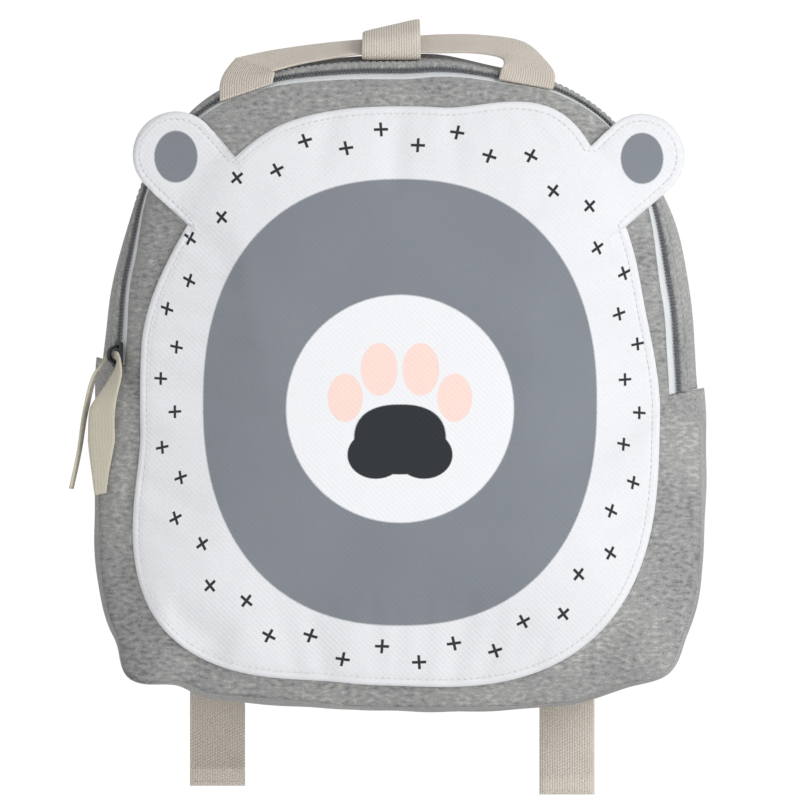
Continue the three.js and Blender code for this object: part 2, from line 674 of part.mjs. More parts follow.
// Section of the loop in the Y-Z plane: over the handle, down in front of it, and back along
// the gusset to the seam where it started.
function loopSection() {
  const top = (share, lift) => {
    const p = upperPoint(PI / 2, share, lift);
    return [p.y, p.z];
  };
  const lay = CLEARANCE * 1.4 + WEBBING_THICKNESS / 2;
  const rest = CLEARANCE + WEBBING_THICKNESS;
  const handleFront = HANDLE_COURSE.find((row) => row.place === 'in the loop').front[1];
  const [frontY] = top(handleFront, 0);
  const crownZ = upperPoint(PI / 2, 0.5, LOOP_RISE).z;
  const half = WEBBING_WIDTH / 2;
  const outFront = frontY - rest - LOOP_SLACK;
  return [
    top(0.995, lay + rest),
    top(0.93, lay + rest + LOOP_SLACK),
    [frontY + half * 2.15, crownZ - LOOP_RISE * 0.3],
    [frontY + half * 1.6, crownZ - LOOP_RISE * 0.08],
    [frontY + half * 1.1, crownZ],
    [frontY + half * 0.65, crownZ - LOOP_RISE * 0.08],
    [outFront + half * 0.2, crownZ - LOOP_RISE * 0.42],
    [outFront, top(handleFront, HANDLE_LIFT + LOOP_SLACK * 0.6)[1]],
    [outFront + half * 0.05, top(handleFront - 0.02, lay + LOOP_SLACK * 0.12)[1]],
    top(handleFront - 0.01, lay),
    top(0.45, lay),
    top(0.7, lay),
    top(0.9, lay),
    top(0.995, lay),
  ];
}

function hangLoop() {
  const points = loopSection().map(([y, z]) => vec(LOOP_MIDDLE, y, z));
  const crown = max(...points.map((p) => p.z));
  const base = BELLY_TO_TOP;
  return bandSolid(shares(44).map((t) => {
    const middle = alongCurve(points, t);
    const roll = LOOP_ROLL * clamp((middle.z - base) / (crown - base));
    return { middle, across: vec(1, 0, roll), width: LOOP_WIDTH, thickness: WEBBING_THICKNESS };
  }));
}

// Shoulder straps, their adjusters and the webbing below them

const BEND_SLACK = 0.6;
const REACH_ROUND = ADJUSTER_THICKNESS / 2 + CLEARANCE + BEND_SLACK + WEBBING_THICKNESS / 2;
const ADJUSTER_Z = -BELLY_TO_BASE + ADJUSTER_ABOVE_BASE;
const ADJUSTER_Y = BACK_Y + BACK_WALL + BACK_CROWN + ADJUSTER_BEHIND;
const tailX = (side) => side * TAIL_SPREAD / 2 + TAIL_SHIFT;
const topBarZ = ADJUSTER_Z + ADJUSTER_SLOT + ADJUSTER_BAR;

// Half a turn in the Y-Z plane round a bar, from its rear side to its front side. Up is 1
// where the webbing passes over the bar and -1 where it passes under it.
function roundBar(x, z, up) {
  return shares(4).map((t) => {
    const a = PI * t;
    const spread = ADJUSTER_BAR / 2 + CLEARANCE + BEND_SLACK + WEBBING_THICKNESS / 2;
    return vec(x, ADJUSTER_Y + REACH_ROUND * cos(a), z + up * spread * sin(a));
  });
}

function adjuster() {
  const [w, bar, slot] = [ADJUSTER_WIDTH / 2, ADJUSTER_BAR, ADJUSTER_SLOT];
  const high = bar * 1.5 + slot;
  const frame = new THREE.Shape();
  const corner = bar * 0.8;
  frame.moveTo(-w + corner, -high);
  frame.lineTo(w - corner, -high);
  frame.quadraticCurveTo(w, -high, w, -high + corner);
  frame.lineTo(w, high - corner);
  frame.quadraticCurveTo(w, high, w - corner, high);
  frame.lineTo(-w + corner, high);
  frame.quadraticCurveTo(-w, high, -w, high - corner);
  frame.lineTo(-w, -high + corner);
  frame.quadraticCurveTo(-w, -high, -w + corner, -high);
  const inside = WEBBING_WIDTH / 2 + 1;
  for (const low of [-bar / 2 - slot, bar / 2]) {
    const hole = new THREE.Path();
    hole.moveTo(-inside, low);
    hole.lineTo(-inside, low + slot);
    hole.lineTo(inside, low + slot);
    hole.lineTo(inside, low);
    hole.lineTo(-inside, low);
    frame.holes.push(hole);
  }
  const geometry = new THREE.ExtrudeGeometry(frame, {
    depth: ADJUSTER_THICKNESS, bevelEnabled: false, curveSegments: 4,
  });
  return geometry.translate(0, 0, -ADJUSTER_THICKNESS / 2).rotateX(PI / 2);
}

function shoulderStrap(side) {
  const topX = side * STRAP_TOP_SPREAD / 2;
  const topZ = BELLY_TO_TOP - STRAP_TOP_DROP;
  const lie = CLEARANCE + STRAP_EDGE / 2;
  const lowX = tailX(side);
  const flat = { width: WEBBING_WIDTH, thickness: WEBBING_THICKNESS, edge: WEBBING_THICKNESS };
  const span = topZ - topBarZ;
  const at = (t, back) => {
    const [x, z] = [mix(topX, lowX, smooth(t)), topZ - span * t];
    return vec(x, backOuterY(x, z) + lie + back, z);
  };
  const bow = [
    { share: 0, back: 0.2, width: 0.85, full: 0.35 },
    { share: 0.06, back: 0.3, width: 1, full: 0.8 },
    { share: 0.2, back: 0.75, width: 1, full: 1 },
    { share: 0.4, back: 1, width: 1, full: 1 },
    { share: 0.6, back: 0.98, width: 1, full: 1 },
    { share: 0.76, back: 0.85, width: 1, full: 1 },
    { share: 0.84, back: 0.76, width: 0.9, full: 0.8 },
  ];
  const padded = bow.map(({ share, back, width, full }) => ({
    middle: at(share, back * STRAP_BOW),
    width: width * mix(STRAP_WIDTH_TOP, STRAP_WIDTH_LOW, share),
    thickness: full * STRAP_THICKNESS,
    edge: STRAP_EDGE,
  }));
  const turned = roundBar(lowX, topBarZ, -1);
  const rise = turned[0].clone().add(vec(0, 0, 8));
  const lastFlat = turned[turned.length - 1].clone().add(vec(0, 0, 9));
  const tab = [rise, ...turned, lastFlat].map((middle) => ({ middle, ...flat }));
  const stops = [...padded, ...tab];
  const curve = new THREE.CatmullRomCurve3(stops.map((s) => s.middle), false, 'centripetal');
  const steps = 2;
  const fine = range((stops.length - 1) * steps + 1).map((k) => {
    const i = min(stops.length - 2, Math.floor(k / steps));
    const f = k / steps - i;
    const between = (key) => mix(stops[i][key], stops[i + 1][key], f);
    return {
      middle: curve.getPoint(k / ((stops.length - 1) * steps)),
      across: vec(1, 0, 0),
      width: between('width'),
      thickness: max(between('thickness'), between('edge')),
      edge: between('edge'),
    };
  });
  return bandSolid(fine, [0, 0.62, 0.9, 1, 0.9, 0.62, 0]);
}

function lowerWebbing(side) {
  const x = tailX(side);
  const below = side < 0 ? TAIL_BELOW_BASE_LEFT : TAIL_BELOW_BASE_RIGHT;
  const endZ = -BELLY_TO_BASE - below;
  const lay = CLEARANCE + WEBBING_THICKNESS / 2;
  const edges = [-1, 1].map((k) => x + k * WEBBING_WIDTH / 2);
  const onBack = (z) => vec(x, max(...edges.map((e) => backOuterY(e, z))) + lay, z);
  const seamZ = -BELLY_TO_BASE + BACK_SEAM_INSET + 6;
  const bar = roundBar(x, ADJUSTER_Z, 1).reverse();
  const [front, rear] = [bar[0], bar[bar.length - 1]];
  const lowBarZ = ADJUSTER_Z - ADJUSTER_SLOT - ADJUSTER_BAR * 1.5 - 4;
  const course = [
    onBack(seamZ),
    onBack(seamZ + WEB_SEWN * 0.5),
    onBack(seamZ + WEB_SEWN),
    vec(x, mix(onBack(seamZ + WEB_SEWN).y, front.y, 0.55), mix(seamZ + WEB_SEWN, lowBarZ, 0.6)),
    vec(x, front.y, lowBarZ),
    ...bar,
    vec(x, rear.y, lowBarZ),
    vec(x, rear.y, mix(lowBarZ, endZ, 0.5)),
  ];
  const curve = new THREE.CatmullRomCurve3(course, false, 'centripetal');
  const plain = { across: vec(1, 0, 0), width: WEBBING_WIDTH, thickness: WEBBING_THICKNESS };
  const web = range((course.length - 1) * 2 + 1).map((k) => ({
    middle: curve.getPoint(k / ((course.length - 1) * 2)), ...plain,
  }));
  const hemTop = endZ + HEM_LENGTH;
  const hem = [
    [hemTop + 0.6, WEBBING_THICKNESS], [hemTop, HEM_THICKNESS * 0.9], [endZ + 2, HEM_THICKNESS],
    [endZ + 0.6, HEM_THICKNESS * 0.8], [endZ, HEM_THICKNESS * 0.4],
  ];
  const tail = hem.map(([z, thickness]) => ({ ...plain, middle: vec(x, rear.y, z), thickness }));
  return bandSolid([...web, ...tail]);
}

// Assembly

function material(slot) {
  const metal = slot === 'zip_metal';
  return new THREE.MeshStandardMaterial({
    color: COLOURS[slot], roughness: metal ? 0.4 : 0.9, metalness: metal ? 0.7 : 0,
    flatShading: true,
  });
}

const bag = new THREE.Group();

function add(name, slot, geometry) {
  const mesh = new THREE.Mesh(geometry, material(slot));
  mesh.name = name;
  bag.add(mesh);
  return mesh;
}

add('front_panel', 'jersey', frontPanel());
add('back_panel', 'jersey', backPanel());
add('gusset_top', 'jersey', gussetTop());
add('gusset_lower', 'jersey', gussetLower());
add('applique_panel', 'applique', appliquePanel());
add('zip_tape', 'zip_tape', zipTape());
add('zip_coil', 'zip_coil', zipCoil());
add('zip_pull', 'pull_tape', zipPull());
add('carry_handle', 'webbing', carryHandle());
add('hang_loop', 'webbing', hangLoop());

const slider = add('zip_slider', 'zip_metal', await zipSlider());
const { origin, across, along, normal } = sliderFrame();
slider.position.copy(origin);
slider.quaternion.setFromRotationMatrix(new THREE.Matrix4().makeBasis(across, along, normal));

for (const [name, side] of [['left', -1], ['right', 1]]) {
  add(`shoulder_strap_${name}`, 'jersey', shoulderStrap(side));
  add(`lower_webbing_${name}`, 'webbing', lowerWebbing(side));
  const lock = add(`adjuster_${name}`, 'adjuster', adjuster());
  lock.position.set(tailX(side), ADJUSTER_Y, ADJUSTER_Z);
}

// The hook bears on the inner face of the loop, at its highest place in the middle.
const loopTop = loopSection().reduce((best, point) => (point[1] > best[1] ? point : best));
bag.position.set(-LOOP_MIDDLE, -loopTop[0], -(loopTop[1] - WEBBING_THICKNESS / 2));

const part = new THREE.Group();
part.add(bag);

export default part;
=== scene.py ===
# %% [markdown]
# # A small child's backpack, dressed for its portrait
#
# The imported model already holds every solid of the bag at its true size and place. This lesson
# keeps those solids as the frame and grows the looks on them: cloth that swells between its
# seams, woven webbing, a zip with teeth, threads and a printed panel. Each step says first what
# the piece is on a real bag, how it could be made, and why it is made this way.

# %% Load the frame
import math

import bmesh
import bpy
import numpy as np
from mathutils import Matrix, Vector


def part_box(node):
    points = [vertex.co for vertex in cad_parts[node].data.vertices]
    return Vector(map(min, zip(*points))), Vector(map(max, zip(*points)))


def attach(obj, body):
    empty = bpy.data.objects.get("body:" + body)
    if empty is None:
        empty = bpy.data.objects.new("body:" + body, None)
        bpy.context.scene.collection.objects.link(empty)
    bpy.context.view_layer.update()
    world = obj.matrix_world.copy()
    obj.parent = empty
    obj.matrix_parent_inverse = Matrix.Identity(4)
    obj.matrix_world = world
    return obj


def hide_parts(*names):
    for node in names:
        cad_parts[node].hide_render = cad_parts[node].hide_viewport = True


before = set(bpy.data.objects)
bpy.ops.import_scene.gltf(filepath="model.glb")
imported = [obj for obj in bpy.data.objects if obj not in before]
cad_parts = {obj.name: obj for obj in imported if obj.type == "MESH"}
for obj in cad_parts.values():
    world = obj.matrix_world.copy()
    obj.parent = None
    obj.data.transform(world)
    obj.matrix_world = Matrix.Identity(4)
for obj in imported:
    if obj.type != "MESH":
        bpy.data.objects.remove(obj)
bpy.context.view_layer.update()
print("solids:", ", ".join(sorted(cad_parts)))

# %% [markdown]
# ## Where the bag is
#
# The bag is easiest to describe round its own middle, at the level where it is widest, in
# millimetres. The frame has its origin in the hang loop instead, and is in metres. Three faces
# of the solids tell where the middle is: the loop's centre, the seam at the back and the base.

# %% The bag's own coordinates
MM = 0.001
BACK_Y, BELLY_TO_TOP, BELLY_TO_BASE = 42.0, 184.0, 118.0
LOOP_MIDDLE = -4.0
gusset_low, gusset_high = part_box("gusset_lower")
loop_low, loop_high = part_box("hang_loop")
MIDDLE = np.array([
    (loop_low.x + loop_high.x) / 2 - LOOP_MIDDLE * MM,
    gusset_high.y - BACK_Y * MM,
    gusset_low.z + BELLY_TO_BASE * MM,
])


def vec(x, y, z):
    """Three arrays of the same shape, or numbers, as one array of points."""
    return np.stack(np.broadcast_arrays(x, y, z), axis=-1).astype(float)


def to_frame(points):
    """Millimetres round the bag's middle become metres in the frame."""
    return np.asarray(points) * MM + MIDDLE


print("middle of the bag in the frame, mm:", np.round(MIDDLE / MM, 2))

# %% [markdown]
# ## The outline
#
# Seen from the front the bag is a rounded box that sags a little: a superellipse above the belly
# and a squarer one below it, with a few dents. A superellipse in polar form is one line of
# numpy, so every panel can ask for the radius at any angle.

# %% Outline of the bag
HALF_WIDTH = 140.5
TOP_ROUNDNESS, BASE_ROUNDNESS = 2.6, 4.2
DEPTH_TOP, DEPTH_BASE = 68.0, 84.0
DENTS = (  # degrees, reach to either side, millimetres outwards
    (76, 10, -2.8), (120, 20, 3.4), (219.5, 7, 7.6), (226.5, 5, -2.8),
    (240, 24, -3.65), (312, 9, -2.5), (321, 7, 3.9),
)


def mix(a, b, t):
    """From a to b, by the share t."""
    return a + (b - a) * t


def smooth(t):
    """An S-shaped step from 0 to 1."""
    t = np.clip(t, 0, 1)
    return t * t * (3 - 2 * t)


def superellipse(angle, half_width, half_height, power):
    """The radius at which the powers of the two shares of the half axes add up to one."""
    across, up = abs(np.cos(angle)) / half_width, abs(np.sin(angle)) / half_height
    return (across**power + up**power) ** (-1 / power)


def plain_radius(angle):
    """One superellipse over the belly and another one under it."""
    rise = np.where(np.sin(angle) > 0, BELLY_TO_TOP, BELLY_TO_BASE)
    power = np.where(np.sin(angle) > 0, TOP_ROUNDNESS, BASE_ROUNDNESS)
    return superellipse(angle, HALF_WIDTH, rise, power)


def swelling(rows, angle):
    """The sum of smooth bumps, each one highest at its own angle."""
    at = np.degrees(angle) % 360
    return sum(out * smooth(1 - abs(at - place) / half) for place, half, out in rows)


def dent(angle):
    """How far the outline stands out of the plain one, or in."""
    return swelling(DENTS, angle)


def squareness(angle):
    """Cosine of the angle between the outline's normal and the ray from the middle."""
    step = 0.01
    slope = (plain_radius(angle + step) - plain_radius(angle - step)) / (2 * step)
    return 1 / np.hypot(1, slope / plain_radius(angle))


turn = np.linspace(0, 2 * math.pi, 721)
print("outline is", round(float(np.ptp((plain_radius(turn) + dent(turn)) * np.cos(turn))), 1), "mm wide")

# %% [markdown]
# ## Seams
#
# The front panel is sewn to the band round the sides. Along the zip its seam lies well inside
# the silhouette, so that the zip shows from the front, and below the zip's ends it swings out to
# the edge. The band bellies out between its two seams.

# %% Seams and the band round the sides
ZIP_SEAM_INSET, LOW_SEAM_INSET, BACK_SEAM_INSET, ZIP_END_STEP = 12.0, 2.6, 8.0, 3.0
ZIP_SEAM_COURSE = np.array([  # degrees, share of the inset
    (19, 1.40), (31, 1.29), (58, 0.24), (75, 0.56), (90, 1.0), (132, 0.40), (145, 0.87), (158, 1.10),
])


def angle_at_height(height, side):
    """Where one side of the outline passes a height over the belly."""
    share = (height / BELLY_TO_TOP) ** TOP_ROUNDNESS
    return math.atan2(height, side * HALF_WIDTH * (1 - share) ** (1 / TOP_ROUNDNESS))


RIGHT_END, LEFT_END = angle_at_height(31, 1), angle_at_height(45, -1)


def zip_seam_inset(angle):
    """Smooth steps between the rows of the course."""
    rows = ZIP_SEAM_COURSE
    at = np.clip(np.degrees(angle), rows[0, 0], rows[-1, 0])
    i = np.clip(np.searchsorted(rows[:, 0], at, side="right"), 1, len(rows) - 1)
    t = smooth((at - rows[i - 1, 0]) / (rows[i, 0] - rows[i - 1, 0]))
    return mix(rows[i - 1, 1], rows[i, 1], t) * ZIP_SEAM_INSET


def front_inset(angle):
    """The zip's inset between its ends, the low one elsewhere, with a smooth swing between."""
    a = np.asarray(angle) % (2 * math.pi)
    beyond = np.where(
        a > 1.5 * math.pi, RIGHT_END - (a - 2 * math.pi), np.maximum(RIGHT_END - a, a - LEFT_END)
    )
    return mix(zip_seam_inset(a), LOW_SEAM_INSET, smooth((np.degrees(beyond) - 1) / 7))


def front_seam_y(z):
    """The bag grows deeper from the top to the base."""
    up = (z + BELLY_TO_BASE) / (BELLY_TO_TOP + BELLY_TO_BASE)
    return BACK_Y - mix(DEPTH_BASE, DEPTH_TOP, up)


def step_in(angle):
    """How far the zip's band lies inside the lower band, most of all at the zip's ends."""
    from_end = np.minimum(angle - RIGHT_END, LEFT_END - angle)
    return ZIP_END_STEP * (1 - smooth(from_end / math.radians(34)))


def gusset_point(angle, share, lift=0.0, extra=0.0):
    """A point on the band: share goes from the front seam to the back seam, and lift is square
    to the cloth. The inset falls from the front seam to the belly, and grows to the back seam."""
    angle, share, lift, extra = np.broadcast_arrays(angle, share, lift, extra)

    def radius(s):
        """The outline's radius less the inset, measured square to the outline."""
        inset = front_inset(angle) * np.maximum(0, 1 - 2 * s) ** 1.8
        inset = inset + BACK_SEAM_INSET * np.maximum(0, 2 * s - 1) ** 2
        inset = inset + extra * (1 - np.maximum(0, 1 - 2 * s) ** 2)
        return plain_radius(angle) + dent(angle) * (1 - 0.5 * s) - inset / squareness(angle)

    def depth(s, r):
        """From the front seam's depth to the back's."""
        return mix(front_seam_y(r * np.sin(angle)), BACK_Y, s)

    s0, s1 = np.maximum(0, share - 0.01), np.minimum(1, share + 0.01)
    r0, r1, r = radius(s0), radius(s1), radius(share)
    across, along = r1 - r0, depth(s1, r1) - depth(s0, r0)
    length = np.hypot(across, along)
    y = depth(share, r) - lift * across / length
    r = r + lift * along / length
    return vec(r * np.cos(angle), y, r * np.sin(angle))


def upper_point(angle, share, lift=0.0):
    """A point on the zip's band, which lies a step inside the lower one."""
    return gusset_point(angle, share, lift, step_in(np.asarray(angle)))


def off_upper(angle, share):
    """Direction off the zip's band: the way of a point that is lifted by a millimetre."""
    return upper_point(angle, share, 1.0) - upper_point(angle, share, 0.0)


print("zip runs between", np.degrees([RIGHT_END, LEFT_END]).round(1), "degrees")

# %% [markdown]
# ## Meshes from arrays
#
# All pieces come from three kinds of grid. A strip is a cloth with an outer and an inner face,
# carried along a path. A shell is two sheets over a disc that meet at the rim. A ring stack goes
# from pole to pole. Each one is closed, so that it has a real thickness from every side.

# %% Mesh builders
def quads(rows, cols, closed=False):
    """Corner numbers of all the cells of a grid, as one array."""
    i, j = np.meshgrid(np.arange(rows - 1), np.arange(cols if closed else cols - 1), indexing="ij")
    a, b = i * cols + j, i * cols + (j + 1) % cols
    return np.stack([a, b, b + cols, a + cols], axis=-1).reshape(-1, 4)


def new_piece(name, points, faces, uv=None):
    """A mesh object that rides on the body, with its faces outwards and an optional map in metres."""
    mesh = bpy.data.meshes.new(name)
    mesh.from_pydata(np.asarray(points).reshape(-1, 3).tolist(), [], faces)
    if uv is not None:
        corner = np.zeros(len(mesh.loops), np.int32)
        mesh.loops.foreach_get("vertex_index", corner)
        layer = mesh.uv_layers.new(name="cloth")
        layer.data.foreach_set("uv", np.asarray(uv, float).reshape(-1, 2)[corner].ravel())
    shape = bmesh.new()
    shape.from_mesh(mesh)
    bmesh.ops.recalc_face_normals(shape, faces=shape.faces)
    shape.to_mesh(mesh)
    shape.free()
    mesh.shade_smooth()
    piece = bpy.data.objects.new(name, mesh)
    bpy.context.scene.collection.objects.link(piece)
    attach(piece, "root")
    return piece


def strip(name, outer, inner, uv):
    """A cloth with two faces. The section is the outer row and then the inner row backwards."""
    stations, width = outer.shape[:2]
    loop = 2 * width
    points = np.concatenate([outer, inner[:, ::-1]], axis=1)
    both = np.concatenate([uv, uv[:, ::-1]], axis=1)
    i = np.arange(width - 1)
    cap = np.stack([i, i + 1, loop - 2 - i, loop - 1 - i], axis=-1)
    last = (stations - 1) * loop
    faces = np.concatenate([quads(stations, loop, True), cap[:, ::-1], cap + last])
    return new_piece(name, to_frame(points), faces.tolist(), both * MM)


def shell(name, outer, inner, uv):
    """Two square grids with a common rim, such as the two faces of a panel."""
    n = outer.shape[0]
    index = np.arange(n * n).reshape(n, n)
    rim = np.concatenate([index[0, :-1], index[:-1, -1], index[-1, :0:-1], index[:0:-1, 0]])
    ahead = np.roll(rim, -1)
    sides = np.stack([rim, ahead, ahead + n * n, rim + n * n], axis=-1)
    cells = quads(n, n)
    faces = np.concatenate([cells, cells[:, ::-1] + n * n, sides[:, ::-1]])
    points = np.stack([outer, inner])
    return new_piece(name, to_frame(points), faces.tolist(), np.stack([uv, uv]) * MM)


def ring_stack(name, first, rings, last):
    """Rings of points between two poles."""
    count, width = rings.shape[:2]
    points = np.concatenate([first[None], rings.reshape(-1, 3), last[None]])
    i = np.arange(width)
    ahead = (i + 1) % width
    start = 1 + (count - 1) * width
    faces = (quads(count, width, True) + 1).tolist()
    faces += np.stack([np.zeros_like(i), ahead + 1, i + 1], axis=-1).tolist()
    faces += np.stack([np.full_like(i, len(points) - 1), i + start, ahead + start], axis=-1).tolist()
    return new_piece(name, to_frame(points), faces)


def disc_grid(n):
    """A square grid folded onto a disc: the share of the radius and the direction."""
    side = np.linspace(-1, 1, n)
    u, v = np.meshgrid(side, side)
    return np.maximum(abs(u), abs(v)), np.arctan2(v, u)


def unit(v):
    """Directions of length one."""
    return v / np.linalg.norm(v, axis=-1, keepdims=True)


def arc_length(points):
    """Length along a row of points, from its first one."""
    return np.concatenate([[0], np.cumsum(np.linalg.norm(np.diff(points, axis=0), axis=1))])


def between_rows(at, reach, rows):
    """Points or directions at any place of a list, where reach tells the place of each row."""
    return np.stack([np.interp(at, reach, column) for column in np.asarray(rows).T], axis=-1)


# %% [markdown]
# ## Materials as sums
#
# A procedural material is a formula over the surface. Wiring it node by node is hard to read, so
# a small class wraps one output of a node. Adding or multiplying such terms adds the Math nodes,
# and the formulas of weave, knit and print below read like ordinary arithmetic.

# %% Terms and recipes for materials
def srgb(red, green, blue):
    """A colour as a picture editor names it, turned into the linear values of the shader."""
    c = np.array([red, green, blue]) / 255
    linear = np.where(c <= 0.04045, c / 12.92, ((c + 0.055) / 1.055) ** 2.4)
    return (*linear.tolist(), 1.0)


def feed(tree, value, socket):
    """Links a term or an output to a socket, or gives the socket a plain value."""
    value = getattr(value, "socket", value)
    if isinstance(value, bpy.types.NodeSocket):
        tree.links.new(value, socket)
    else:
        socket.default_value = value


def s_step(tree, low, high, start, end):
    """A node that goes from start to end in an S-shaped step between two values."""
    node = tree.nodes.new("ShaderNodeMapRange")
    node.interpolation_type = "SMOOTHSTEP"
    for name, value in (("From Min", low), ("From Max", high), ("To Min", start), ("To Max", end)):
        node.inputs[name].default_value = value
    return node


class Term:
    """One number at each point of a surface."""

    def __init__(self, tree, socket):
        self.tree, self.socket = tree, socket

    def apply(self, operation, *values):
        """The term that a Math node makes of the given terms or numbers."""
        node = self.tree.nodes.new("ShaderNodeMath")
        node.operation = operation
        for socket, value in zip(node.inputs, values):
            feed(self.tree, value, socket)
        return Term(self.tree, node.outputs[0])

    def __add__(self, other):
        return self.apply("ADD", self, other)

    def __sub__(self, other):
        return self.apply("SUBTRACT", self, other)

    def __rsub__(self, other):
        return self.apply("SUBTRACT", other, self)

    def __mul__(self, other):
        return self.apply("MULTIPLY", self, other)

    def __truediv__(self, other):
        return self.apply("DIVIDE", self, other)

    def __pow__(self, other):
        return self.apply("POWER", self, other)

    def __abs__(self):
        return self.apply("ABSOLUTE", self)

    __radd__, __rmul__ = __add__, __mul__

    def sin(self):
        """The sine, in radians."""
        return self.apply("SINE", self)

    def fract(self):
        """What is left over the next lower whole number."""
        return self.apply("FRACT", self)

    def floor(self):
        """The next lower whole number."""
        return self.apply("FLOOR", self)

    def least(self, other):
        """The smaller of two terms: as shapes, both together."""
        return self.apply("MINIMUM", self, other)

    def most(self, other):
        """The larger of two terms: as shapes, what lies in both."""
        return self.apply("MAXIMUM", self, other)

    def below(self, limit, soft):
        """1 where the term is under the limit and 0 over it, with an edge that soft."""
        node = s_step(self.tree, -soft, soft, 1, 0)
        feed(self.tree, self - limit, node.inputs["Value"])
        return Term(self.tree, node.outputs["Result"])


class Recipe:
    """A material under way: its shader, and the helpers that feed it."""

    def __init__(self, name, sheen=0.0, metallic=0.0):
        self.material = bpy.data.materials.new(name)
        self.material.use_nodes = True
        self.tree = self.material.node_tree
        self.shader = self.tree.nodes["Principled BSDF"]
        for socket, value in (("Metallic", metallic), ("Sheen Weight", sheen),
                              ("Sheen Roughness", 0.6), ("Specular IOR Level", 0.3)):
            self.shader.inputs[socket].default_value = value

    def node(self, kind, **settings):
        """A new node with some of its settings changed."""
        node = self.tree.nodes.new(kind)
        for key, value in settings.items():
            setattr(node, key, value)
        return node

    def split(self, socket):
        """The three parts of a point, as terms."""
        parts = self.node("ShaderNodeSeparateXYZ")
        self.tree.links.new(socket, parts.inputs[0])
        return [Term(self.tree, out) for out in parts.outputs]

    def place(self):
        """Object coordinates in millimetres."""
        return [t / MM for t in self.split(self.node("ShaderNodeTexCoord").outputs["Object"])]

    def cloth(self):
        """The piece's own map in millimetres: across the cloth and along it."""
        return [t / MM for t in self.split(self.node("ShaderNodeUVMap", uv_map="cloth").outputs[0])[:2]]

    def joined(self, x, y, z=0.0):
        """Three terms or numbers as one point."""
        node = self.node("ShaderNodeCombineXYZ")
        for socket, value in zip(node.inputs, (x, y, z)):
            feed(self.tree, value, socket)
        return node.outputs[0]

    def noise(self, where, size, detail=2.0, rough=0.5):
        """Noise whose blobs are about that many millimetres across."""
        node = self.node("ShaderNodeTexNoise")
        node.inputs["Scale"].default_value = 1 / size
        node.inputs["Detail"].default_value = detail
        node.inputs["Roughness"].default_value = rough
        self.tree.links.new(self.joined(*where), node.inputs["Vector"])
        return Term(self.tree, node.outputs["Fac"])

    def blend(self, amount, first, second):
        """A colour between two others, given as colours or as outputs of nodes."""
        node = self.node("ShaderNodeMix", data_type="RGBA", clamp_factor=True)
        for socket, value in (("Factor", amount), (6, first), (7, second)):
            feed(self.tree, value, node.inputs[socket])
        return node.outputs[2]

    def shaded(self, colour, amount):
        """A colour made lighter or darker by a term round 1, as painted light and shade."""
        node = self.node("ShaderNodeMix", data_type="RGBA", blend_type="MULTIPLY")
        for socket, value in (("Factor", 1), (6, colour), (7, self.joined(amount, amount, amount))):
            feed(self.tree, value, node.inputs[socket])
        return node.outputs[2]

    def finish(self, colour, height, relief, rough):
        """Wires colour, relief in millimetres and roughness to the shader."""
        bump = self.node("ShaderNodeBump")
        bump.inputs["Distance"].default_value = relief * MM
        feed(self.tree, height, bump.inputs["Height"])
        for socket, value in (("Base Color", colour), ("Normal", bump.outputs[0]), ("Roughness", rough)):
            feed(self.tree, value, self.shader.inputs[socket])
        return self.material


# %% [markdown]
# ## Grey jersey
#
# Heathered sweatshirt jersey is knitted from a yarn of light and dark fibres. From afar one sees
# soft flecks a few millimetres long, and close up the small V-shaped loops of the knit. Flecks
# are noise, drawn out along the rows of loops. The loops are a cosine across the rows whose
# phase climbs to either side of each column.

# %% Jersey
GREY_DARK, GREY_MIDDLE, GREY_LIGHT = srgb(112, 114, 114), srgb(146, 147, 147), srgb(181, 181, 176)
KNIT_COLUMN, KNIT_ROW = 1.15, 0.95


def jersey(name):
    """The tone is a weighted sum of flecks, threads and clouds; the loops are the relief, and they also
    give painted shade.
    """
    recipe = Recipe(name, sheen=0.25)
    across, along = recipe.cloth()
    x, y, z = recipe.place()
    flecks = recipe.noise((across, along * 1.9), 3.2, detail=3)
    threads = recipe.noise((across, along * 3.5), 1.1, detail=2)
    clouds = recipe.noise((x, y, z), 38, detail=2)
    tone = flecks * 0.62 + threads * 0.3 + clouds * 0.28 - 0.6
    colour = recipe.blend((tone + 0.12) / 0.24, GREY_DARK, GREY_LIGHT)
    colour = recipe.blend(abs(tone) * 5 + 0.3, GREY_MIDDLE, colour)
    side = abs((across / KNIT_COLUMN).fract() - 0.5)
    loops = ((along / KNIT_ROW + side) * (2 * math.pi)).sin() * (1 - side * 1.6)
    height = loops * 0.5 + threads * 0.5
    rough = flecks * 0.12 + 0.84
    # Painted shade: the colour is darker between the loops and lighter on their crests, following the
    # relief.
    return recipe.finish(recipe.shaded(colour, loops * 0.035 + 1), height, 0.16, rough)


GREY_JERSEY = jersey("grey_jersey")

# %% [markdown]
# ## Webbing, tapes and threads
#
# Cotton webbing is a heavy twill: warp threads run along it in ribs a millimetre apart, and each
# rib goes over and under in a slant. Two sine waves, one across and one along, with a phase that
# shifts from rib to rib, give that slant.

# %% Webbing
def webbing(name, light, dark, rib=1.15, pick=1.5, relief=0.3):
    """Ribs and picks are sine waves of the given widths, and fibres and stains are noise. Ribs and picks
    also give painted shade, lighter on the raised threads and darker between them.
    """
    recipe = Recipe(name, sheen=0.1)
    across, along = recipe.cloth()
    ribs = abs((across / rib * math.pi).sin())
    picks = ((along / pick + (across / rib).floor() * 0.37) * (2 * math.pi)).sin()
    fibres = recipe.noise((across * 2.5, along * 0.7), 0.9, detail=3)
    stain = recipe.noise((across, along), 14, detail=2)
    # Painted shade: the ribs and picks make the colour lighter on the raised threads and darker between
    # them.
    tone = ribs * 0.35 + picks * 0.14 + fibres * 0.5 + stain * 0.35 - 0.5
    colour = recipe.blend(tone + 0.2, dark, light)
    return recipe.finish(colour, ribs * (picks * 0.3 + 0.8) + fibres * 0.4, relief, fibres * 0.1 + 0.8)


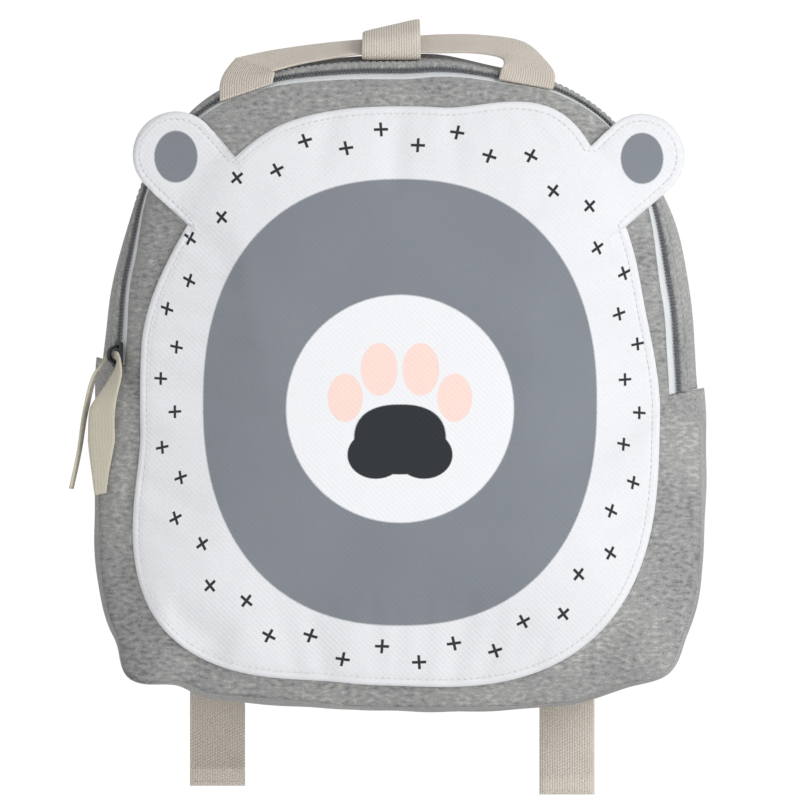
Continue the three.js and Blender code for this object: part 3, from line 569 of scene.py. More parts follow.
CREAM_WEBBING = webbing("cream_webbing", srgb(230, 221, 211), srgb(194, 184, 172))
PULL_COTTON = webbing(
    "pull_cotton", srgb(214, 209, 193), srgb(182, 176, 158), rib=0.7, pick=0.9, relief=0.15
)
ZIP_TAPE = webbing(
    "zip_tape_weave", srgb(240, 242, 242), srgb(205, 209, 212), rib=0.6, pick=0.8, relief=0.12
)


def plain_finish(name, colour, shade, rough, metallic=0.0, grain=0.6, relief=0.05):
    """Moulded plastic, lacquered metal or thread: a fine grain and a slow change of tone."""
    recipe = Recipe(name, metallic=metallic)
    where = recipe.place()
    fine, slow = recipe.noise(where, grain, detail=3), recipe.noise(where, 9)
    tint = recipe.blend(fine * 0.5 + slow * 0.6 - 0.05, shade, colour)
    return recipe.finish(tint, fine, relief, fine * 0.2 + (rough - 0.1))


# The coil's dark grey is partly the nylon's own colour and partly painted shade for the shadow under the
# band's lip.
COIL_NYLON_AND_PAINTED_SHADE = plain_finish("coil_nylon_and_painted_shade", srgb(112, 115, 120), srgb(78, 81, 86), 0.45)
SLIDER_LACQUER = plain_finish("slider_lacquer", srgb(38, 41, 45), srgb(20, 22, 25), 0.38, 0.6)
ADJUSTER_PLASTIC = plain_finish("adjuster_plastic", srgb(206, 200, 188), srgb(186, 179, 167), 0.5)
WHITE_THREAD = plain_finish("white_thread", srgb(228, 229, 231), srgb(196, 198, 200), 0.8, grain=0.25)
CREAM_THREAD = plain_finish("cream_thread", srgb(226, 218, 207), srgb(190, 181, 169), 0.8, grain=0.25)
GREY_THREAD = plain_finish("grey_thread", srgb(170, 171, 172), srgb(126, 128, 130), 0.8, grain=0.25)
print("materials:", len(bpy.data.materials))


def dress(piece, material, slot, *nodes):
    """The piece's material, and the solids that it stands for. The slot is not used."""
    piece.data.materials.clear()
    piece.data.materials.append(material)
    if nodes:
        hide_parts(*nodes)
    print(piece.name, len(piece.data.polygons), "faces")
    return piece


# %% [markdown]
# ## Front panel
#
# The front of the bag is jersey over a thin wadding, stuffed from behind, so it is domed and dips
# to its seam. A dome could be a scaled sphere, but it would miss the bag's outline. Here the
# height is a power curve of the share of the radius, which is flat in the middle and steep at the
# seam, and a cloth simulation then lets the wadding settle with the seam pinned.

# %% Dome of the front panel
CLEARANCE, FRONT_WALL, FRONT_DOME = 0.3, 2.6, 17.0
PANEL_GRID, EDGE_POWER, SETTLE_STEPS = 121, 14, 20


def front_radius(angle):
    """The bag's outline less the inset of the seam."""
    return plain_radius(angle) + dent(angle) - front_inset(angle) / squareness(angle)


def dome_height(rho):
    """One less a power of the share of the radius, under another power."""
    return FRONT_DOME * (1 - np.clip(rho, 0, 1) ** 2.5) ** 0.6


def front_inner_y(x, z):
    """The plain dome's inner face: it stands forward of the seam by the dome's height."""
    rho = np.hypot(x, z) / front_radius(np.arctan2(z, x))
    return front_seam_y(z) - CLEARANCE - dome_height(rho)


def settle(piece, pinned, pressure, slack, cap):
    """Cloth simulation of a mesh: pinned holds a weight for each point, slack is the share that
    the cloth is longer, and cap is how far a point may go in millimetres. Returns the way that
    each point moved, in millimetres."""
    count = len(piece.data.vertices)
    start = np.zeros(count * 3)
    piece.data.vertices.foreach_get("co", start)
    group = piece.vertex_groups.new(name="seam")
    tenths = np.round(pinned, 1)
    for weight in np.unique(tenths[tenths > 0]):
        group.add(np.flatnonzero(tenths == weight).tolist(), float(weight), "REPLACE")
    cloth = piece.modifiers.new("settle", "CLOTH")
    rules = cloth.settings
    rules.quality, rules.mass = 6, 0.3
    rules.tension_stiffness = rules.compression_stiffness = 20
    rules.shear_stiffness, rules.bending_stiffness = 8, 2
    rules.use_pressure, rules.uniform_pressure_force = True, pressure
    rules.shrink_min = -slack
    rules.vertex_group_mass = "seam"
    rules.effector_weights.gravity = 0
    cloth.collision_settings.use_collision = False
    cloth.point_cache.frame_start, cloth.point_cache.frame_end = 1, SETTLE_STEPS
    for step in range(1, SETTLE_STEPS + 1):
        bpy.context.scene.frame_set(step)
    settled = piece.evaluated_get(bpy.context.evaluated_depsgraph_get())
    end = np.zeros(count * 3)
    settled.data.vertices.foreach_get("co", end)
    piece.modifiers.remove(cloth)
    piece.vertex_groups.remove(group)
    bpy.context.scene.frame_set(1)
    way = (end - start).reshape(-1, 3) / MM
    far = np.linalg.norm(way, axis=1, keepdims=True)
    print(piece.name, "settled by up to", round(float(far.max()), 1), "mm")
    return way * np.minimum(1, cap / np.maximum(far, 1e-9))


# %% Front panel
rho, theta = disc_grid(PANEL_GRID)
front_r = rho * front_radius(theta)
front_x, front_z = front_r * np.cos(theta), front_r * np.sin(theta)
front_y = front_seam_y(front_z) - CLEARANCE - dome_height(rho)
front_skin = vec(front_x, front_y, front_z)
trial = new_piece("trial", to_frame(front_skin), quads(PANEL_GRID, PANEL_GRID).tolist())
front_way = settle(trial, smooth((rho.ravel() - 0.93) / 0.05), 3.0, 0.01, 4.0)
bpy.data.objects.remove(trial)
front_settled = front_way.reshape(front_skin.shape)[..., 1]
print("front panel settles between", front_settled.min().round(2), "and", front_settled.max().round(2))


def settled_at(x, z):
    """The simulated change of depth at any place of the front, between the grid's points."""
    angle = np.arctan2(z, x)
    share = np.clip(np.hypot(x, z) / front_radius(angle), 0, 1)
    stretch = share / np.maximum(abs(np.cos(angle)), abs(np.sin(angle)))
    n = PANEL_GRID - 1
    u = np.clip((stretch * np.cos(angle) + 1) / 2 * n, 0, n - 1e-6)
    v = np.clip((stretch * np.sin(angle) + 1) / 2 * n, 0, n - 1e-6)
    i, j = v.astype(int), u.astype(int)
    fu, fv = u - j, v - i
    low = mix(front_settled[i, j], front_settled[i, j + 1], fu)
    high = mix(front_settled[i + 1, j], front_settled[i + 1, j + 1], fu)
    return mix(low, high, fv)


def folds(x, z):
    """Soft waves of slack cloth, strongest above the base and at the lower corners."""
    low = smooth((-z - 40) / 70)
    waves = np.sin(x / 17 + 0.9 * np.sin(z / 23)) * 0.55 + np.sin(x / 7.3 - z / 11) * 0.25
    return waves * low + 0.25 * np.sin(x / 31 + z / 19)


skin_y = front_y + front_settled + folds(front_x, front_z) * (1 - rho**6)
rounded = (1 - rho**EDGE_POWER) ** 0.5
front_cloth = shell(
    "front_cloth",
    vec(front_x, skin_y - FRONT_WALL * rounded, front_z),
    vec(front_x, skin_y, front_z),
    np.stack([front_x, front_z], axis=-1),
)
dress(front_cloth, GREY_JERSEY, "jersey", "front_panel")

# %% [markdown]
# ## Back panel
#
# The back lies against the child, so it is nearly flat, with a little wadding.

# %% Back panel
BACK_WALL, BACK_CROWN = 3.0, 6.0


def back_radius(angle):
    """The bag's outline, with half its dents, less the inset of the seam."""
    return plain_radius(angle) + dent(angle) * 0.5 - BACK_SEAM_INSET / squareness(angle)


def back_outer_y(x, z):
    """Crowned by a cube of the share of the radius."""
    share = np.minimum(1, np.hypot(x, z) / back_radius(np.arctan2(z, x)))
    return BACK_Y + CLEARANCE + BACK_WALL + BACK_CROWN * (1 - share**3)


back_r = rho * back_radius(theta)
back_x, back_z = back_r * np.cos(theta), back_r * np.sin(theta)
back_y = back_outer_y(back_x, back_z)
back_roll = 0.9 * BACK_WALL * (1 - rounded)
back_cloth = shell(
    "back_cloth",
    vec(back_x, back_y - back_roll, back_z),
    vec(back_x, back_y - BACK_WALL, back_z),
    np.stack([back_x, back_z], axis=-1),
)
dress(back_cloth, GREY_JERSEY, "jersey", "back_panel")

# %% [markdown]
# ## Band round the sides
#
# The band (a bag maker calls it the gusset) is two strips: one over the top, slit for the zip and
# folded back over it as a lip, and one round the sides and the base. A strip with an outer and an
# inner face follows the seam lines, and slow waves make the cloth look held, not moulded.

# %% Gusset
GUSSET_WALL, LIP_THICKNESS = 2.4, 1.8
LIP_FROM, LIP_TO, LIP_SETTLED = 0.111, 0.16, 0.235
END_GAP = CLEARANCE / HALF_WIDTH


def gusset_waves(angle, share):
    """Shallow folds that fade towards both seams."""
    belly = np.sin(np.pi * np.clip(share, 0, 1)) ** 2
    slow = np.sin(angle * 9 + 2.1 * np.sin(share * 5)) * 0.5 + np.sin(angle * 23 + share * 9) * 0.2
    return belly * slow


def cloth_map(points):
    """Length along each row and across each column, in millimetres."""
    middle = points[:, points.shape[1] // 2]
    along = arc_length(middle)[:, None] + np.zeros(points.shape[1])
    across = arc_length(points[len(points) // 2])[None, :] + np.zeros((len(points), 1))
    return np.stack([across, along], axis=-1)


def lower_band():
    """Round the sides and the base. The wall thins to a quarter at the front seam."""
    angle = np.linspace(LEFT_END + END_GAP, RIGHT_END + 2 * math.pi - END_GAP, 300)[:, None]
    share = np.linspace(0, 1, 30)[None, :]
    wave = gusset_waves(angle, share)
    outer = gusset_point(angle, share, wave)
    inner = gusset_point(angle, share, wave - GUSSET_WALL * (0.25 + 0.75 * smooth(share / 0.06)))
    return strip("gusset_lower_cloth", outer, inner, cloth_map(outer))


def upper_band():
    """Over the top. Its front edge stands off the tape as a lip with a round fold."""
    angle = np.linspace(RIGHT_END, LEFT_END, 260)[:, None]
    share = np.concatenate([
        np.linspace(LIP_FROM, LIP_TO, 8), np.linspace(LIP_TO, LIP_SETTLED, 8)[1:],
        np.linspace(LIP_SETTLED, 1, 22)[1:],
    ])[None, :]
    off = 1 - smooth((share - LIP_TO) / (LIP_SETTLED - LIP_TO))
    fold = (1 - (1 - smooth((share - LIP_FROM) / 0.02)) ** 2) ** 0.5
    wave = gusset_waves(angle, share) * (1 - off)
    outer = upper_point(angle, share, off * (CLEARANCE + LIP_THICKNESS * (0.35 + 0.65 * fold)) + wave)
    inner = upper_point(angle, share, mix(-GUSSET_WALL, CLEARANCE, off) + wave)
    return strip("gusset_top_cloth", outer, inner, cloth_map(outer))


gusset_low_cloth = dress(lower_band(), GREY_JERSEY, "jersey", "gusset_lower")
gusset_top_cloth = dress(upper_band(), GREY_JERSEY, "jersey", "gusset_top")

# %% [markdown]
# ## Threads
#
# A row of stitches is one small lozenge repeated along a line. The line is measured first, so
# that whole stitches fit, and all of them are placed with one array sum: each stitch is its own
# middle plus the lozenge's corners along, across and off the cloth.

# %% Stitches
def lozenge(sides=6):
    """Rings of a spindle, as shares of its half length and half thickness, and its faces."""
    t, half = np.array([-0.72, 0.0, 0.72]), np.array([0.75, 1.0, 0.75])
    a = np.arange(sides) * 2 * math.pi / sides
    ring = np.stack([
        np.repeat(t, sides), np.outer(half, np.cos(a)).ravel(), np.outer(half, np.sin(a)).ravel(),
    ], axis=-1)
    points = np.concatenate([ring, [[-1, 0, 0], [1, 0, 0]]])
    cells = quads(3, sides, True)
    i = np.arange(sides)
    ahead, low, high = (i + 1) % sides, 3 * sides, 3 * sides + 1
    ends = np.concatenate([
        np.stack([np.full(sides, low), ahead, i], axis=-1),
        np.stack([np.full(sides, high), i + 2 * sides, ahead + 2 * sides], axis=-1),
    ])
    return points, cells, ends


def many(name, middles, along, normal, half_length, half_width, half_height):
    """One mesh of equal lozenges, each with its own middle and directions."""
    points, cells, ends = lozenge()
    along, normal = unit(along), unit(normal)
    side = unit(np.cross(normal, along))
    up = np.cross(along, side)
    placed = (
        middles[:, None] + points[None, :, 0:1] * half_length * along[:, None]
        + points[None, :, 1:2] * half_width * side[:, None]
        + points[None, :, 2:3] * half_height * up[:, None]
    )
    shift = (np.arange(len(middles)) * len(points))[:, None, None]
    faces = (cells[None] + shift).reshape(-1, 4).tolist() + (ends[None] + shift).reshape(-1, 3).tolist()
    return new_piece(name, to_frame(placed), faces)


def even_stops(path, pitch):
    """Middles of equal steps along a line, and the line's direction there."""
    length = arc_length(path)
    count = max(2, int(length[-1] / pitch))
    at = (np.arange(count) + 0.5) * length[-1] / count
    where, ahead, back = (between_rows(at + step, length, path) for step in (0, 0.5, -0.5))
    return where, ahead - back, at


def seam(name, path, normals, material, slot, pitch, length=2.2, thick=0.3):
    """Stitches along a path, lying half in the cloth. One normal may serve the whole path."""
    middles, along, at = even_stops(path, pitch)
    normal = between_rows(at, arc_length(path), np.broadcast_to(normals, path.shape))
    return dress(many(name, middles, along, normal, length / 2, thick, thick), material, slot)


# %% Topstitch on the zip's lip
LIP_STITCHES = LIP_TO + 0.01
stitch_angle = np.linspace(RIGHT_END + 0.02, LEFT_END - 0.02, 400)
lip_line = upper_point(stitch_angle, LIP_STITCHES, CLEARANCE + LIP_THICKNESS)
lip_normal = off_upper(stitch_angle, LIP_STITCHES)
seam("lip_stitches", lip_line, lip_normal, GREY_THREAD, "jersey", pitch=3.0, thick=0.34)


# %% [markdown]
# ## The sewn-on panel
#
# A white cotton panel with two ears covers most of the front. It lies on the dome, and its ears
# leave the dome along its slope and stand free over the zip. Polar rings with their angles close
# together at the ears follow the outline, and the edge rolls back where the hem is turned in.

# %% Sewn-on panel
APPLIQUE_LIFT, APPLIQUE_THICKNESS, APPLIQUE_GAP, HEM_INSET = 27.0, 1.6, 0.8, 3.4
FIELD_HALF_WIDTH, FIELD_HALF_HEIGHT, FIELD_ROUNDNESS = 119.0, 132.5, 2.45
FIELD_SWELLS = (  # degrees, reach to either side, millimetres outwards
    (21, 25, -4.3), (61, 21, 13.3), (140, 29, -6.4), (223, 36, 18.8), (310, 44, 6.9),
)
EAR_FLANK, EAR_LEAVES, EAR_FREE = math.radians(0.8), 0.82, 14.3
EARS = (  # direction, distance of the round end's centre, its radius
    (math.radians(44.7), 155.9, 19.5), (math.radians(132.9), 150.7, 19.8),
)


def field_radius(angle):
    """The panel without its ears: a superellipse with swells."""
    plain = superellipse(angle, FIELD_HALF_WIDTH, FIELD_HALF_HEIGHT, FIELD_ROUNDNESS)
    return plain + swelling(FIELD_SWELLS, angle)


def ear_reach(angle):
    """How far the ears stand out over the field: the far side of a circle seen from the panel's
    middle, with flanks that run towards that middle and end in a small fillet."""
    reach = np.zeros_like(angle)
    for axis, far, radius in EARS:
        half = math.asin(radius / far)
        off = abs(angle - axis)
        across = far * np.sin(np.minimum(off, half))
        outer = far * np.cos(off) + np.sqrt(np.maximum(0, radius**2 - across**2))
        flank = 1 - smooth((off - half) / EAR_FLANK)
        reach = np.maximum(reach, (outer - field_radius(angle)) * flank)
    return reach


def applique_back_y(x, z):
    """The panel's rear face: on the dome, and on its tangent where the ears leave it."""
    angle = np.arctan2(z - APPLIQUE_LIFT, x)
    r = np.hypot(x, z - APPLIQUE_LIFT)
    ear = smooth((r - 0.97 * field_radius(angle)) / EAR_FREE)
    share = np.hypot(x, z) / front_radius(np.arctan2(z, x))
    dome, leave = dome_height(share), EAR_LEAVES
    slope = (dome_height(leave + 0.01) - dome_height(leave - 0.01)) / 0.02
    straight = dome_height(leave) + slope * (share - leave)
    height = np.where(share < leave, dome, mix(dome, straight, ear))
    moved = (settled_at(x, z) + folds(x, z) * (1 - np.clip(share, 0, 1) ** 6)) * (1 - ear)
    return front_seam_y(z) - CLEARANCE - FRONT_WALL - APPLIQUE_GAP - height + moved


def applique_angles():
    """Even steps round the panel, and closer ones over each ear that crowd at its sides."""
    plain = np.radians(np.arange(0, 360, 1.5))
    clear = np.ones(len(plain), bool)
    spans = []
    for axis, far, radius in EARS:
        half = math.asin(radius / far)
        round_end = np.sin(np.linspace(0, 1, 24) * math.pi / 2) * half
        side = np.concatenate([round_end, half + np.linspace(0, EAR_FLANK, 7)[1:]])
        spans.append(axis + np.concatenate([-side[:0:-1], side]))
        clear &= abs(plain - axis) > side[-1] + math.radians(0.7)
    return np.sort(np.concatenate([plain[clear], *spans]))


panel_angles = applique_angles()
panel_rho = np.concatenate([np.linspace(0.04, 0.9, 36), np.linspace(0.9, 1, 16)[1:]])[:, None]
panel_r = panel_rho * field_radius(panel_angles) + panel_rho**6 * ear_reach(panel_angles)
panel_x, panel_z = panel_r * np.cos(panel_angles), APPLIQUE_LIFT + panel_r * np.sin(panel_angles)
edge = np.stack([panel_x[-1], panel_z[-1]], axis=-1)
to_edge = np.linalg.norm(
    np.stack([panel_x, panel_z], axis=-1)[:, :, None] - edge[None, None], axis=-1
).min(axis=2)
panel_back = applique_back_y(panel_x, panel_z)
hem_roll = 0.7 * (1 - smooth(to_edge / 1.4))
hem_dip = 0.28 * np.exp(-(((to_edge - HEM_INSET) / 1.1) ** 2))
panel_front = panel_back - APPLIQUE_THICKNESS + hem_roll + hem_dip
panel_rings = np.concatenate([
    vec(panel_x, panel_front, panel_z), vec(panel_x, panel_back, panel_z)[::-1],
])
centre_back = float(applique_back_y(0.0, APPLIQUE_LIFT))
applique = ring_stack(
    "applique_cotton",
    np.array([0, centre_back - APPLIQUE_THICKNESS, APPLIQUE_LIFT]),
    panel_rings,
    np.array([0, centre_back, APPLIQUE_LIFT]),
)

# %% [markdown]
# ## Print on the panel
#
# The printed panel is white cotton with a slate field in the middle and a slate patch in each
# ear. On the field is a round white badge with a paw print, and two rows of small plus signs run
# round the rim. Each shape is the set of points where a formula is under a limit, such as the
# superellipse of the field or of a toe. Ink sinks into the weave, so the edges are a little soft.

# %% Print
FIELD_SLATE, FIELD_SLATE_LIGHT = srgb(116, 121, 129), srgb(130, 135, 142)
COTTON_WHITE, COTTON_SHADE = srgb(229, 230, 233), srgb(212, 213, 216)
INK_BLACK, INK_PEACH = srgb(38, 43, 47), srgb(239, 211, 202)
SLATE_WIDTH, SLATE_HEIGHT, SLATE_ROUNDNESS = 90.0, 102.0, 2.3
BADGE_RADIUS = 52.0
PAW_PAD = (  # middle across and up, half width, half height, roundness
    (0, -20, 21, 16, 2.4), (-11, -27, 13, 11, 2), (11, -27, 13, 11, 2),
)
PAW_TOES = ((-25, -1, 8, 11, 2), (25, -1, 8, 11, 2), (-9.5, 12, 8.4, 12, 2), (9.5, 12, 8.4, 12, 2))
EAR_PATCH_WIDE, EAR_PATCH_HIGH, EAR_PATCH_DROP = 0.5, 0.6, 1
SIGN_COUNT, SIGN_REACH, SIGN_STROKE = 44, 3.1, 0.62
SIGN_RADIUS, SIGN_PLACE, SIGN_STAGGER, SIGN_LIMIT = 127, 0.865, 0.055, 0.97


def printed_cotton(name):
    """Each shape in turn is laid over the colour so far, by its own term from 0 to 1."""
    recipe = Recipe(name, sheen=0.08)
    x, _, z = recipe.place()
    x, z = x - float(MIDDLE[0]) / MM, z - float(MIDDLE[2]) / MM - APPLIQUE_LIFT
    bleed = recipe.noise((x, z), 0.8, detail=2) - 0.5

    def oval(cx, cz, half_x, half_z, power=2.0):
        """Under 1 inside a superellipse."""
        return (abs(x - cx) / half_x) ** power + (abs(z - cz) / half_z) ** power

    def any_of(rows):
        """Under 1 inside at least one of the ovals."""
        shape, *others = [oval(*row) for row in rows]
        for other in others:
            shape = shape.least(other)
        return shape

    def inked(term, limit, soft):
        """1 where the term is under the limit, with an edge that the noise moves."""
        return (term + bleed * soft).below(limit, soft)

    weave = (x / 0.42).sin() * (z / 0.42).sin()
    slubs = recipe.noise((x * 0.5, z * 3), 1.6, detail=2)
    wash = recipe.noise((x, z), 55, detail=1)
    colour = recipe.blend(slubs * 0.5 + wash * 0.5, COTTON_SHADE, COTTON_WHITE)
    slate = recipe.blend(wash * 0.8 + slubs * 0.3, FIELD_SLATE, FIELD_SLATE_LIGHT)
    field = inked(oval(0, -3, SLATE_WIDTH, SLATE_HEIGHT, SLATE_ROUNDNESS), 1, 0.012)
    colour = recipe.blend(field, colour, slate)
    badge = inked(oval(0, -6, BADGE_RADIUS, BADGE_RADIUS), 1, 0.02)
    colour = recipe.blend(badge, colour, COTTON_WHITE)
    colour = recipe.blend(inked(any_of(PAW_PAD), 1, 0.05), colour, INK_BLACK)
    colour = recipe.blend(inked(any_of(PAW_TOES), 1, 0.07), colour, INK_PEACH)
    angle = x.apply("ARCTAN2", z, x) * (SIGN_COUNT / (2 * math.pi))
    odd = (angle.floor() * 0.5).fract() * 2
    ring = oval(0, 0, FIELD_HALF_WIDTH, FIELD_HALF_HEIGHT, FIELD_ROUNDNESS) ** (1 / FIELD_ROUNDNESS)
    sideways = abs(angle.fract() - 0.5) * (ring * SIGN_RADIUS * 2 * math.pi / SIGN_COUNT)
    outwards = abs((ring - SIGN_PLACE - odd * SIGN_STAGGER) * SIGN_RADIUS)
    upright = (sideways - SIGN_STROKE).most(outwards - SIGN_REACH)
    level = (sideways - SIGN_REACH).most(outwards - SIGN_STROKE)
    signs = inked(upright.least(level), 0, 0.12)
    colour = recipe.blend(signs * ring.below(SIGN_LIMIT, 0.004), colour, INK_BLACK)
    for axis, far, radius in EARS:
        middle = far * math.cos(axis), far * math.sin(axis) - EAR_PATCH_DROP
        patch = oval(*middle, radius * EAR_PATCH_WIDE, radius * EAR_PATCH_HIGH)
        colour = recipe.blend(inked(patch, 1, 0.08), colour, slate)
    return recipe.finish(colour, weave * 0.4 + slubs * 0.6, 0.12, slubs * 0.12 + 0.8)


dress(applique, printed_cotton("printed_cotton"), "applique", "applique_panel")

# %% Next point along the panel's edge
ahead = np.roll(edge, -1, axis=0)

# %% Stitching round the panel
TO_VIEWER = (0.0, -1.0, 0.0)
tangent = unit(ahead - np.roll(edge, 1, axis=0))
inward = np.stack([-tangent[:, 1], tangent[:, 0]], axis=-1)
stitch_line = edge + inward * HEM_INSET
line_x, line_z = np.concatenate([stitch_line, stitch_line[:1]]).T
line_y = applique_back_y(line_x, line_z) - APPLIQUE_THICKNESS + 0.12
seam("applique_stitches", vec(line_x, line_y, line_z), TO_VIEWER, WHITE_THREAD, "applique", pitch=2.9)

# %% [markdown]
# ## Zip
#
# The zip is a woven tape with a nylon coil on it. Its teeth are the turns of two spirals that mesh
# with each other. From a hand's breadth away they read as two rows of short bars that take turns,
# so the same lozenge as for the stitches serves, laid across the tape.

# %% Zip tape and teeth
TAPE_TO, COIL_FROM, COIL_TO, COIL_HEIGHT = 0.15, 0.058, 0.102, 1.5
zip_angle = np.linspace(RIGHT_END, LEFT_END, 260)[:, None]
tape_share = np.linspace(0, TAPE_TO, 7)[None, :]
tape_outer = upper_point(zip_angle, tape_share, 0.0)
tape_inner = upper_point(zip_angle, tape_share, -1.0)
zip_tape = strip("zip_tape_woven", tape_outer, tape_inner, cloth_map(tape_outer))
dress(zip_tape, ZIP_TAPE, "zip_tape", "zip_tape")

TOOTH_PITCH, TOOTH_SHIFT = 1.5, 0.75
TOOTH_HALF = (1.45, 0.42, 0.7)
zip_turn, coil_middle = zip_angle[:, 0], (COIL_FROM + COIL_TO) / 2
coil_path = upper_point(zip_turn, coil_middle, CLEARANCE + COIL_HEIGHT / 2)
coil_across = upper_point(zip_turn, COIL_TO, 1.0) - upper_point(zip_turn, COIL_FROM, 1.0)
tooth_at, _, tooth_reach = even_stops(coil_path, TOOTH_PITCH / 2)
tooth_normal, tooth_across = (
    between_rows(tooth_reach, arc_length(coil_path), rows)
    for rows in (off_upper(zip_turn, coil_middle), coil_across)
)
takes_turns = np.where(np.arange(len(tooth_at)) % 2, 1, -1)[:, None]
shifted = tooth_at + unit(tooth_across) * takes_turns * TOOTH_SHIFT
teeth = many("zip_teeth", shifted, tooth_across, tooth_normal, *TOOTH_HALF)
# The teeth are dark grey: partly the coil's own colour, partly painted shade of the lip's shadow.
dress(teeth, COIL_NYLON_AND_PAINTED_SHADE, "zip_coil", "zip_coil")

# %% [markdown]
# ## Curves
#
# The webbing follows curves through a few points. A Catmull-Rom curve passes through each of its
# points, and its centripetal kind has no loops where points lie close together.

# %% Curve through points
BAND_ROUNDNESS = 10
TO_RIGHT = (1.0, 0.0, 0.0)


def curve(points, t):
    """Centripetal Catmull-Rom: on each stretch a cubic whose end slopes come from the
    neighbours, weighted by the square roots of the distances."""
    p = np.asarray(points, float)
    p = np.concatenate([2 * p[:1] - p[1:2], p, 2 * p[-1:] - p[-2:-1]])
    last = len(p) - 4
    at = np.clip(np.asarray(t, float), 0, 1) * (last + 1)
    i = np.minimum(at.astype(int), last)
    w = (at - i)[:, None]
    gap = np.maximum(np.sum(np.diff(p, axis=0) ** 2, axis=1) ** 0.25, 1e-4)[:, None]
    a, b, c, d = p[i], p[i + 1], p[i + 2], p[i + 3]
    g0, g1, g2 = gap[i], gap[i + 1], gap[i + 2]
    start = ((b - a) / g0 - (c - a) / (g0 + g1) + (c - b) / g1) * g1
    end = ((c - b) / g1 - (d - b) / (g1 + g2) + (d - c) / g2) * g1
    return b + start * w + (3 * (c - b) - 2 * start - end) * w**2 + (2 * (b - c) + start + end) * w**3


def band_frame(middle, across):
    """Unit directions across the band and off its face, from the line's own direction."""
    across = unit(np.broadcast_to(across, middle.shape))
    return across, unit(np.cross(across, np.gradient(middle, axis=0)))


def band_places(wide):
    """Places across a band from -1 to 1: the sines of even steps, closer at the edges."""
    return np.sin(np.linspace(-1, 1, wide) * math.pi / 2)


def loft(name, middle, across, width, half):
    """A cloth along a line: half holds the half thickness at each station and place across."""
    across, up = band_frame(middle, across)
    side = band_places(half.shape[1]) * np.broadcast_to(width, len(middle))[:, None] / 2
    line = middle[:, None] + across[:, None] * side[..., None]
    off = up[:, None] * half[..., None]
    uv = np.stack(np.broadcast_arrays(side, arc_length(middle)[:, None]), axis=-1)
    return strip(name, line + off, line - off, uv)


def band(name, middle, across, width, thickness, wide=15):
    """A flat band: its thickness is even and rounds off at the two edges."""
    rounded_off = 0.25 + 0.75 * (1 - abs(band_places(wide)) ** BAND_ROUNDNESS) ** 0.5
    thickness = np.broadcast_to(thickness, len(middle))[:, None]
    return loft(name, middle, across, width, thickness * rounded_off / 2)


def tape(middle, width):
    """Spreads the width to one value for each point of the line, and keeps nothing."""
    width = np.broadcast_to(width, len(middle))


def cross_stitches(name, centre, across, normal, share):
    """A row of thread across a webbing, over that share of its width."""
    reach = np.linspace(-share, share, 24)[:, None] * WEBBING_WIDTH / 2
    line = centre + np.asarray(across) * reach
    seam(name, line, normal, CREAM_THREAD, "webbing", pitch=2.6, length=2.0)


# %% [markdown]
# ## Carry handle and hang loop
#
# The handle is one length of webbing. Its left end turns over in a sharp crease, and its right
# end bends softly down to the seam. The loop behind it goes round the handle and is what the bag
# hangs by. Both are bands along a curve whose edges are given by places on the gusset.

# %% Handle
WEBBING_WIDTH, WEBBING_THICKNESS, HANDLE_LIFT = 25.5, 1.5, 4.0
HANDLE_COURSE = (  # front edge, then rear edge: degrees, share of the depth, lift
    ((108.6, 0.00, 0.45), (117.4, 0.00, 0.45)),
    ((108.8, 0.06, 0.95), (115.4, 0.13, 1.50)),
    ((108.6, 0.12, 1.10), (112.4, 0.36, 2.55)),
    ((104.9, 0.18, 0.85), (106.5, 0.50, 1.95)),
    ((97.5, 0.25, 0.85), (97.5, 0.58, 1.80)),
    ((91.5, 0.28, 0.95), (91.5, 0.61, 1.98)),
    ((84.5, 0.27, 0.90), (84.5, 0.61, 2.60)),
    ((79.0, 0.26, 1.55), (79.0, 0.60, 3.35)),
    ((75.6, 0.22, 1.85), (73.5, 0.50, 3.40)),
    ((74.6, 0.13, 1.60), (70.2, 0.32, 2.10)),
    ((75.6, 0.06, 0.95), (67.4, 0.13, 1.40)),
    ((75.8, 0.00, 0.45), (66.8, 0.00, 0.45)),
)
CREASE = 2


def on_cloth(rows):
    """Points over the zip's band, with the lift as shares of the handle's."""
    rows = np.array(rows)
    return upper_point(np.radians(rows[:, 0]), rows[:, 1], rows[:, 2] * HANDLE_LIFT)


handle_front = on_cloth([row[0] for row in HANDLE_COURSE])
handle_rear = on_cloth([row[1] for row in HANDLE_COURSE])
handle_mid = (handle_front + handle_rear) / 2
handle_dir = unit(handle_rear - handle_front)
first, rest = np.linspace(0, 1, 24)[:-1], np.linspace(0, 1, 150)
handle_line, handle_across = (
    np.concatenate([curve(rows[: CREASE + 1], first), curve(rows[CREASE:], rest)])
    for rows in (handle_mid, handle_dir)
)
handle = band("carry_handle_webbing", handle_line, handle_across, WEBBING_WIDTH, WEBBING_THICKNESS)
dress(handle, CREAM_WEBBING, "webbing", "carry_handle")
tape(handle_line, WEBBING_WIDTH)
handle_up = band_frame(handle_line, handle_across)[1]
for end, start in (("left", 3), ("right", -4)):
    off, across = handle_up[start], handle_across[start]
    centre = handle_line[start] + off * (WEBBING_THICKNESS / 2 + 0.1)
    cross_stitches(f"handle_stitches_{end}", centre, across, off, 0.86)

# %% Hang loop
LOOP_WIDTH, LOOP_RISE, LOOP_SLACK, LOOP_ROLL = 27.0, 13.0, 2.8, 0.23
LOOP_CREST = (  # half widths of the webbing behind its front edge, millimetres under the crown
    (2.15, 3.9), (1.6, 1), (1.1, 0), (0.65, 1),
)


